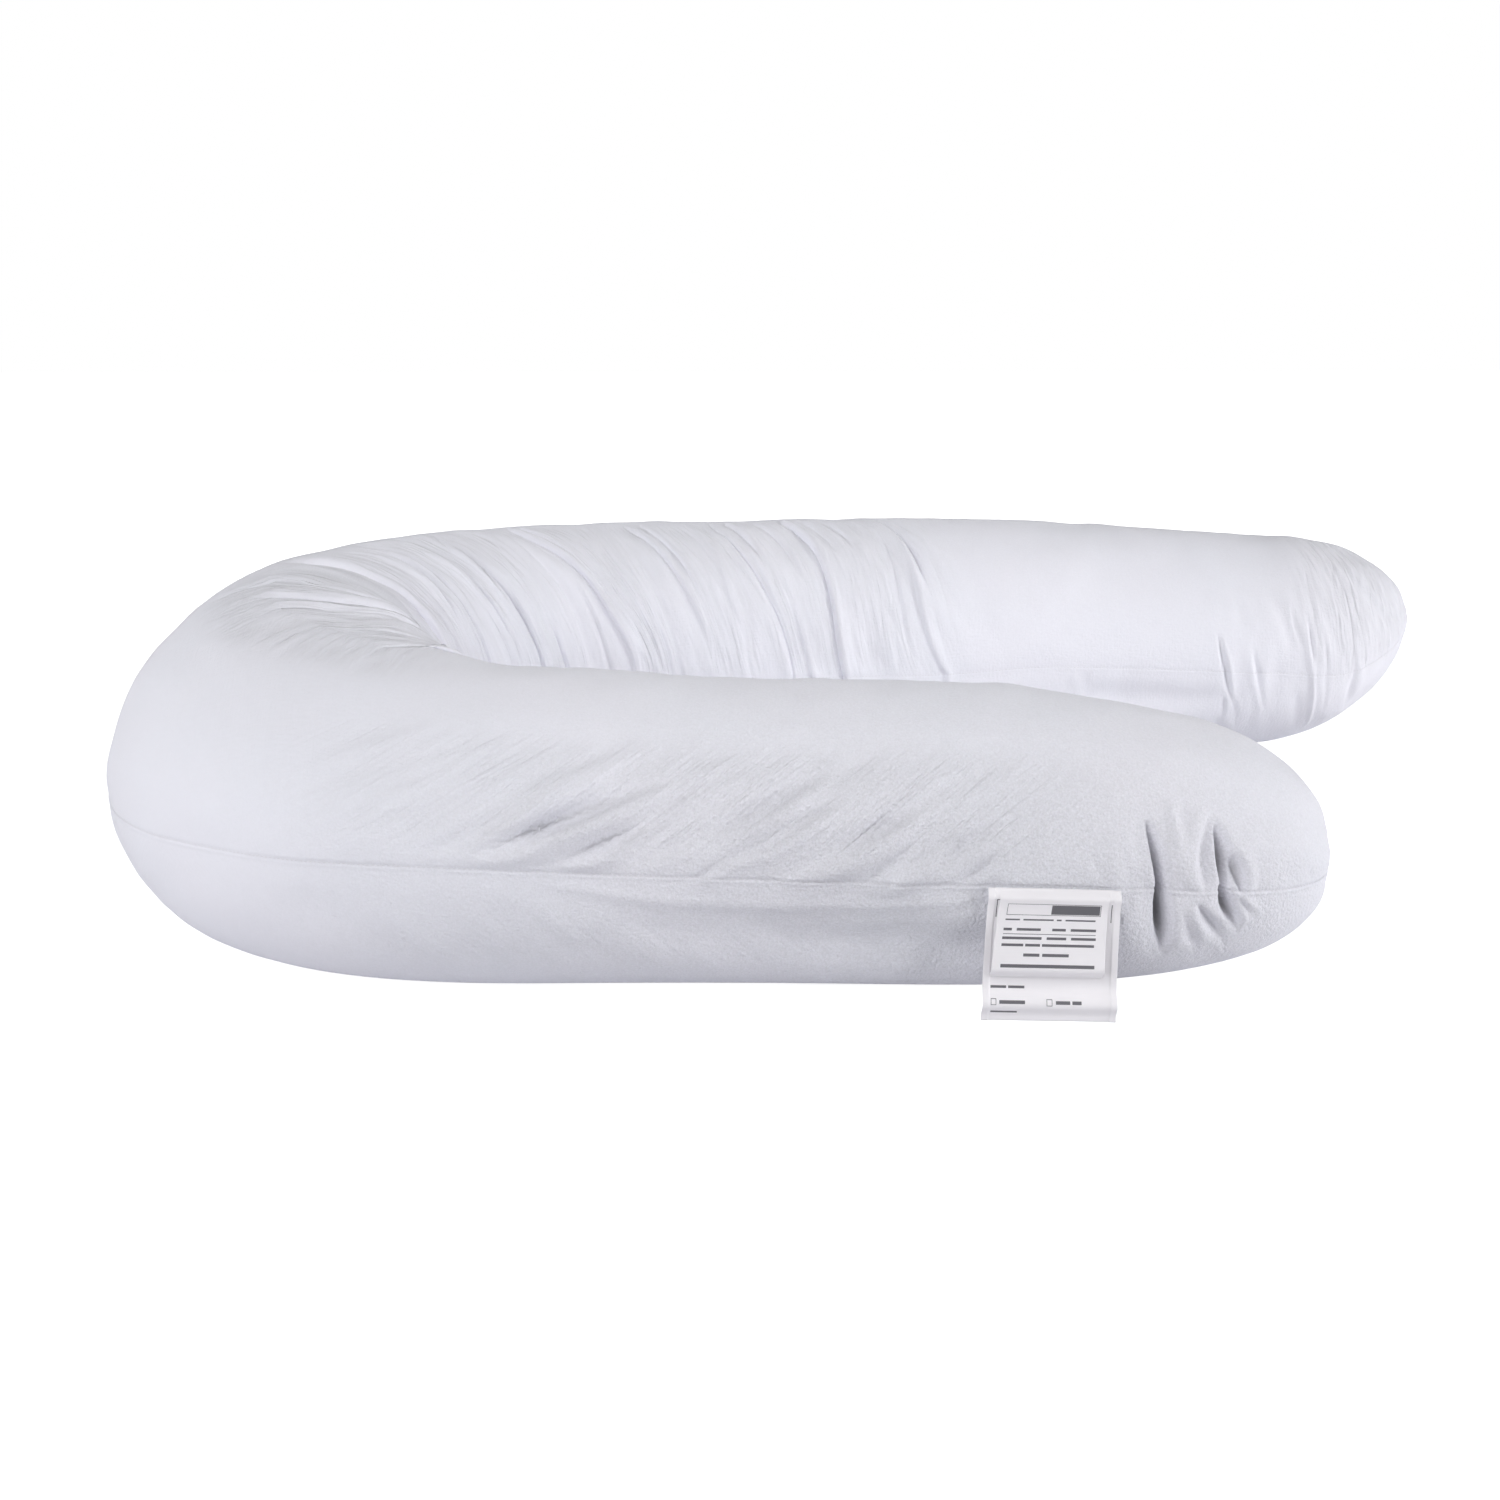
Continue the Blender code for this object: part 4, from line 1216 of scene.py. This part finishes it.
def brushed_share(nodes, place):
    """How brushed the cotton is: most along the near arm's outer side, least round the bend."""
    apart = nodes.add("ShaderNodeSeparateXYZ", {0: place})
    share = nodes.ramp(apart.outputs[0], BRUSHED_ALONG)
    for ramp in (BRUSHED_ACROSS, BRUSHED_FRONT):
        share = nodes.maths("MULTIPLY", share, nodes.ramp(apart.outputs[1], ramp))
    return share


def cotton_material(settings):
    nodes = Nodes("cotton_cover")
    uv = nodes.add("ShaderNodeUVMap", uv_map="cloth").outputs[0]
    place = nodes.add("ShaderNodeTexCoord").outputs["Object"]
    across, along, worn = (attribute(nodes, name) for name in ("across", "along", "worn"))
    mottle = nodes.noise(place, MOTTLE_SCALE, 3.0)
    brushed = brushed_share(nodes, place)
    fine = [nodes.maths("MULTIPLY", creases(nodes, across, along, kind), worn) for kind in FINE_CREASES]

    cool = tuple(c * f for c, f in zip(settings.cotton_colour, COOL_TINT))
    colour = nodes.blend(mottle, (*settings.cotton_colour, 1.0), (*cool, 1.0))
    lint = nodes.ramp(nodes.noise(place, LINT_SCALE, 4.0, 0.7), LINT_CONTRAST)
    lint = nodes.maths("MULTIPLY", lint, nodes.maths("MULTIPLY", brushed, LINT_SHADE))
    tuck = attribute(nodes, "tuck")
    groove = nodes.maths("MULTIPLY", attribute(nodes, "groove"), GROOVE_SHADE)
    creased = nodes.maths("MULTIPLY", nodes.maths("ADD", *fine), CREASE_SHADE)
    shade = (*settings.grain_and_crease_shade_colour, 1.0)
    dark = (*(SLOT_DARKNESS * c for c in settings.grain_and_crease_shade_colour), 1.0)
    # Lint grain, then painted shade: by a tuck's depth, darker in the deepest slots, in the seam's groove and
    # along the fine creases.
    for share, tone in ((lint, shade), (nodes.ramp(tuck, TUCK_SHADE), shade),
                        (nodes.ramp(tuck, SLOT_SHADE), dark), (groove, shade), (creased, shade)):
        colour = nodes.blend(share, colour, tone)
    nodes.set(nodes.shader, "Base Color", colour)

    normal = nodes.bump(weave_height(nodes, uv, settings.weave_pitch), WEAVE_BUMP, 0.5)
    for stretch in SLUB_STRETCHES:
        normal = nodes.bump(slub_height(nodes, uv, stretch), SLUB_BUMP, 0.5, normal)
    nap = nodes.maths("MULTIPLY", nodes.noise(place, NAP_SCALE, 3.0, 0.6), brushed)
    normal = nodes.bump(nap, NAP_BUMP, 0.5, normal)
    for kind, lines in zip(FINE_CREASES, fine):
        normal = nodes.bump(lines, -kind.depth, 1.0, normal)
    nodes.set(nodes.shader, "Normal", normal)
    nodes.set(nodes.shader, "Roughness", nodes.ramp(mottle, COTTON_ROUGHNESS))
    nodes.polish(COTTON_FINISH)
    return nodes.material


def thread_material(settings):
    nodes = Nodes("sewing_thread")
    place = nodes.add("ShaderNodeTexCoord").outputs["Object"]
    twist = nodes.add("ShaderNodeTexWave", {"Vector": place, "Scale": THREAD_TWIST, "Distortion": 1.0},
                      bands_direction="DIAGONAL").outputs["Fac"]
    nodes.set(nodes.shader, "Normal", nodes.bump(twist, THREAD_BUMP, 0.7))
    shade = tuple(THREAD_SHADE * c for c in settings.thread_colour)
    nodes.set(nodes.shader, "Base Color", nodes.blend(twist, (*shade, 1.0), (*settings.thread_colour, 1.0)))
    nodes.polish(THREAD_FINISH)
    return nodes.material


def mark_mask(nodes, across, down, mark, inset=0.0):
    """1 inside a printed mark, or inside the mark drawn in by the inset."""
    centre = (mark.left + mark.width / 2, mark.top + mark.height / 2)
    reach = (mark.width / 2 - inset, mark.height / 2 - inset)
    inside = [nodes.maths("LESS_THAN", nodes.maths("ABSOLUTE", nodes.maths("SUBTRACT", at, middle)), half)
              for at, middle, half in zip((across, down), centre, reach)]
    return nodes.maths("MULTIPLY", inside[0], inside[1])


def print_mask(nodes, uv, marks):
    """1 where the label is printed."""
    apart = nodes.add("ShaderNodeSeparateXYZ", {0: uv})
    across, down = apart.outputs[0], apart.outputs[1]
    total = 0.0
    for mark in marks:
        mask = mark_mask(nodes, across, down, mark)
        if mark.hollow:
            hole = mark_mask(nodes, across, down, mark, MARK_OUTLINE)
            mask = nodes.maths("SUBTRACT", mask, hole)
        total = nodes.maths("MAXIMUM", mask, total)
    return total


def satin_material(settings, label):
    nodes = Nodes(f"satin_{label.name}")
    uv = nodes.add("ShaderNodeUVMap", uv_map="cloth").outputs[0]
    streaks = slub_height(nodes, uv, SATIN_STREAKS)
    shade = tuple(SATIN_SHADE * c for c in settings.satin_colour)
    colour = nodes.blend(streaks, (*shade, 1.0), (*settings.satin_colour, 1.0))
    printed = nodes.maths("MULTIPLY", print_mask(nodes, uv, MARKS[label.name]), PRINT_COVER)
    colour = nodes.blend(printed, colour, (*settings.print_colour, 1.0))
    nodes.set(nodes.shader, "Base Color", colour)

    apart = nodes.add("ShaderNodeSeparateXYZ", {0: uv})
    ribs = nodes.maths("SINE", nodes.maths("MULTIPLY", apart.outputs[1], 2 * math.pi / SATIN_RIB_PITCH))
    normal = nodes.bump(ribs, SATIN_RIB_BUMP, 0.5)
    normal = nodes.bump(streaks, SATIN_STREAK_BUMP, 0.5, normal)
    nodes.set(nodes.shader, "Normal", normal)
    across = nodes.add("ShaderNodeTangent", direction_type="UV_MAP", uv_map="cloth")
    nodes.set(nodes.shader, "Tangent", across.outputs[0])
    nodes.polish(SATIN_FINISH)
    return nodes.material


def floor_material(glow):
    """A pale floor that the camera sees nearly white, as it sees the surround."""
    nodes = Nodes("studio_floor")
    place = nodes.add("ShaderNodeTexCoord").outputs["Object"]
    nodes.set(nodes.shader, "Base Color", nodes.blend(nodes.noise(place, FLOOR_CLOUDS, 2.0), *FLOOR_COLOURS))
    nodes.polish(FLOOR_FINISH)
    away = nodes.add("ShaderNodeVectorMath", {0: place}, operation="LENGTH").outputs["Value"]
    lift = nodes.ramp(away, Ramp(GLOW_NEAR, GLOW_FAR, glow, GLOW_GROWTH * glow + GLOW_ADDED))
    seen = nodes.add("ShaderNodeLightPath").outputs["Is Camera Ray"]
    nodes.set(nodes.shader, "Emission Strength", nodes.maths("MULTIPLY", seen, lift))
    return nodes.material


def white_surround(strength):
    """A white world, of full brightness to the camera and of the given one as a light."""
    world = bpy.data.worlds.new("white_surround")
    world.use_nodes = True
    tree = world.node_tree
    background = tree.nodes["Background"]
    background.inputs["Color"].default_value = (1.0, 1.0, 1.0, 1.0)
    seen = tree.nodes.new("ShaderNodeLightPath").outputs["Is Camera Ray"]
    level = tree.nodes.new("ShaderNodeMapRange")
    level.inputs["To Min"].default_value = strength
    level.inputs["To Max"].default_value = 1.0
    tree.links.new(seen, level.inputs["Value"])
    tree.links.new(level.outputs["Result"], background.inputs["Strength"])
    return world


class PILLOW_OT_cover(bpy.types.Operator):
    """Add the cotton cover, gathered at the bend and puckered at its tips"""
    bl_idname = "pillow.cover"
    bl_label = "Cover"

    def execute(self, context):
        settings = context.scene.pillow
        cover = make_cover_points(settings)
        bm = grid_bmesh(closed(cover.points), {name: closed(grid) for name, grid in cover.layers.items()})
        bmesh.ops.remove_doubles(bm, verts=bm.verts, dist=MERGE)
        bmesh.ops.recalc_face_normals(bm, faces=bm.faces)
        piece = place_object(COVER, bm, cotton_material(settings))
        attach(piece, BODY)
        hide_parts(BODY_NODE)
        return {"FINISHED"}


def seam_path(cover):
    """The seam's points from the inner side of one tip round the pillow, and their outward normals."""
    normals = facing(cover.points)
    loop = [(grid[::-1, cover.inner], grid[:, 0]) for grid in (cover.points, normals)]
    points, outward = (np.vstack([inside, outside[1:]]) for inside, outside in loop)
    steps = np.linalg.norm(np.diff(points, axis=0), axis=1)
    return points, outward, np.concatenate([[0.0], np.cumsum(steps)])


class PILLOW_OT_stitches(bpy.types.Operator):
    """Add the row of stitches that lies in the groove of the seam"""
    bl_idname = "pillow.stitches"
    bl_label = "Stitches"

    def execute(self, context):
        settings = context.scene.pillow
        points, outward, distance = seam_path(make_cover_points(settings))
        bm = bmesh.new()
        half = settings.stitch_length / 2
        for middle in np.arange(half, distance[-1] - half, settings.stitch_pitch):
            ends = [Vector([np.interp(middle + offset, distance, points[:, k]) for k in range(3)])
                    for offset in (-half, half)]
            out = Vector([np.interp(middle, distance, outward[:, k]) for k in range(3)]).normalized()
            along = (ends[1] - ends[0]).normalized()
            side = along.cross(out).normalized()
            out = side.cross(along)
            turn = Matrix((along, side, out)).transposed().to_4x4()
            size = Matrix.Diagonal((half, settings.thread_width / 2, settings.thread_width / 2, 1.0))
            centre = (ends[0] + ends[1]) / 2 + out * settings.thread_width * STITCH_PROUD
            bmesh.ops.create_icosphere(bm, subdivisions=1, radius=1.0,
                                       matrix=Matrix.Translation(centre) @ turn @ size)
        piece = place_object("seam_stitches", bm, thread_material(settings))
        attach(piece, BODY)
        return {"FINISHED"}


def ribbon_stand_off(label, drops):
    """How far the ribbon stands off the seam's line at each drop."""
    share = drops / label.drop
    clear = smooth_step(drops / RIBBON_LIP)
    out = RIBBON_GAP + RIBBON_STAND_OFF * clear + label.layer * (RIBBON_THICKNESS + RIBBON_GAP) * clear
    out += label.lean * share ** 2
    out += RIBBON_ROLL * np.exp(-((drops - RIBBON_ROLL_AT) / RIBBON_ROLL_WIDTH) ** 2)
    out += label.ridge * np.exp(-((share - label.ridge_at) / RIBBON_RIDGE_WIDTH) ** 2)
    out -= label.curl * smooth_step((share - RIBBON_CURL_START) / (1 - RIBBON_CURL_START)) ** 2
    return out - SEAM_DRAW - RIBBON_TUCK * (1 - clear)


def label_points(label):
    """The label's outer face, row by row from the seam down, and its flat coordinates."""
    width = label.last - label.first
    inner_edge = label.hem + RIBBON_EDGE_BAND
    outer_edge = width - inner_edge
    across = spread((
        Spacing(0.0, RIBBON_EDGE_STEP), Spacing(inner_edge, RIBBON_EDGE_STEP),
        Spacing(inner_edge + RIBBON_EDGE_BAND, RIBBON_COLUMN_STEP),
        Spacing(outer_edge - RIBBON_EDGE_BAND, RIBBON_COLUMN_STEP),
        Spacing(outer_edge, RIBBON_EDGE_STEP), Spacing(width, RIBBON_EDGE_STEP)), 0.0, width)
    drops = np.linspace(0.0, label.drop, RIBBON_ROWS + 1)
    share = (drops / label.drop)[:, None]
    middle = (label.first + label.last) / 2
    stations = middle + (label.last - across - middle)[None] * (1 + label.flare * share) + label.slant * share
    seam = plain_skin(stations, np.zeros_like(stations))
    outward = route_outward(stations)
    from_edge = np.minimum(across, width - across)
    hem = HEM_HEIGHT * smooth_step((label.hem - from_edge) / HEM_SOFTNESS)
    out = ribbon_stand_off(label, drops)[:, None] + hem[None]
    points = seam.copy()
    points[:, :, :2] += outward * out[..., None]
    points[:, :, 2] = seam[:1, :, 2] - drops[:, None]
    flat = np.stack(np.broadcast_arrays(across[None], drops[:, None]), axis=-1)
    return points, flat


class PILLOW_OT_labels(bpy.types.Operator):
    """Add the two satin labels that hang from the outer seam of the shorter arm"""
    bl_idname = "pillow.labels"
    bl_label = "Labels"

    def execute(self, context):
        settings = context.scene.pillow
        for label in LABELS:
            points, flat = label_points(label)
            bm = grid_bmesh(points, {"cloth": flat})
            bmesh.ops.solidify(bm, geom=bm.faces, thickness=RIBBON_THICKNESS)
            bmesh.ops.recalc_face_normals(bm, faces=bm.faces)
            piece = place_object(label.name, bm, satin_material(settings, label))
            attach(piece, BODY)
            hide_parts(label.node)
        return {"FINISHED"}


class Lamp(NamedTuple):
    """A soft square lamp: its place, the setting of its power, its target, size and beam in degrees."""
    name: str
    place: tuple
    setting: str
    target: tuple = (0.0, 0.0, 0.1)
    size: float = 1.6
    beam: float = 180


LAMPS = (
    Lamp("left_lamp", (-1.76, -1.47, 1.71), "left_power"),
    Lamp("low_lamp", (-2.12, -1.78, 0.49), "low_power"),
    Lamp("front_lamp", (-0.78, -2.16, 1.71), "front_power"),
    Lamp("right_lamp", (2.73, -0.48, 0.49), "right_power"),
    Lamp("back_lamp", (-1.47, 1.76, 1.71), "back_power"),
    Lamp("side_lamp", (2.40, -1.40, 0.49), "side_power"),
    Lamp("rim_lamp", (1.47, 1.76, 1.71), "rim_power"),
    Lamp("fill_lamp", (0.02, -0.70, 1.10), "fill_power", target=(0.02, 0.2, 0.1), size=0.6, beam=60),
)
FLOOR_SIZE = 14.0
FLOOR_DROP = 0.0006


class PILLOW_OT_studio(bpy.types.Operator):
    """Add the floor, the lamps, the white surround and the camera"""
    bl_idname = "pillow.studio"
    bl_label = "Studio"

    def execute(self, context):
        studio = context.scene.pillow_studio
        bm = bmesh.new()
        bmesh.ops.create_grid(bm, x_segments=1, y_segments=1, size=FLOOR_SIZE / 2)
        bmesh.ops.translate(bm, verts=bm.verts, vec=(0.0, 0.0, -FLOOR_DROP))
        place_object("studio_floor", bm, floor_material(studio.floor_glow))

        for lamp in LAMPS:
            light = bpy.data.lights.new(lamp.name, "AREA")
            light.size = lamp.size
            light.spread = math.radians(lamp.beam)
            light.energy = getattr(studio, lamp.setting)
            holder = bpy.data.objects.new(lamp.name, light)
            holder.location = lamp.place
            beam = Vector(lamp.target) - Vector(lamp.place)
            holder.rotation_euler = beam.to_track_quat("-Z", "Y").to_euler()
            holder.visible_camera = False
            context.scene.collection.objects.link(holder)

        context.scene.world = white_surround(studio.sky_strength)

        lens = bpy.data.cameras.new("camera")
        lens.lens = studio.lens
        camera = bpy.data.objects.new("camera", lens)
        camera.location = studio.camera_place
        camera.rotation_euler = (math.pi / 2 - studio.camera_tilt, 0.0, -studio.camera_heading)
        context.scene.collection.objects.link(camera)
        context.scene.camera = camera
        context.scene.view_settings.view_transform = "Standard"
        return {"FINISHED"}


class PILLOW_PT_panel(bpy.types.Panel):
    """The pillow's pieces and their settings"""
    bl_idname = "PILLOW_PT_panel"
    bl_label = "U-Shaped Pillow"
    bl_space_type = "VIEW_3D"
    bl_region_type = "UI"
    bl_category = "Pillow"

    def draw(self, context):
        for group in (context.scene.pillow, context.scene.pillow_studio):
            box = self.layout.box()
            for name in group.__annotations__:
                box.prop(group, name)
        for operator in OPERATORS:
            self.layout.operator(operator.bl_idname)


OPERATORS = (PILLOW_OT_cover, PILLOW_OT_stitches, PILLOW_OT_labels, PILLOW_OT_studio)
CLASSES = (PillowSettings, StudioSettings, *OPERATORS, PILLOW_PT_panel)


def register():
    for item in CLASSES:
        bpy.utils.register_class(item)
    bpy.types.Scene.pillow = bpy.props.PointerProperty(type=PillowSettings)
    bpy.types.Scene.pillow_studio = bpy.props.PointerProperty(type=StudioSettings)


def unregister():
    del bpy.types.Scene.pillow_studio
    del bpy.types.Scene.pillow
    for item in reversed(CLASSES):
        bpy.utils.unregister_class(item)


def main():
    register()
    bpy.ops.pillow.cover()
    bpy.ops.pillow.stitches()
    bpy.ops.pillow.labels()
    bpy.ops.pillow.studio()


if __name__ == "__main__":
    main()
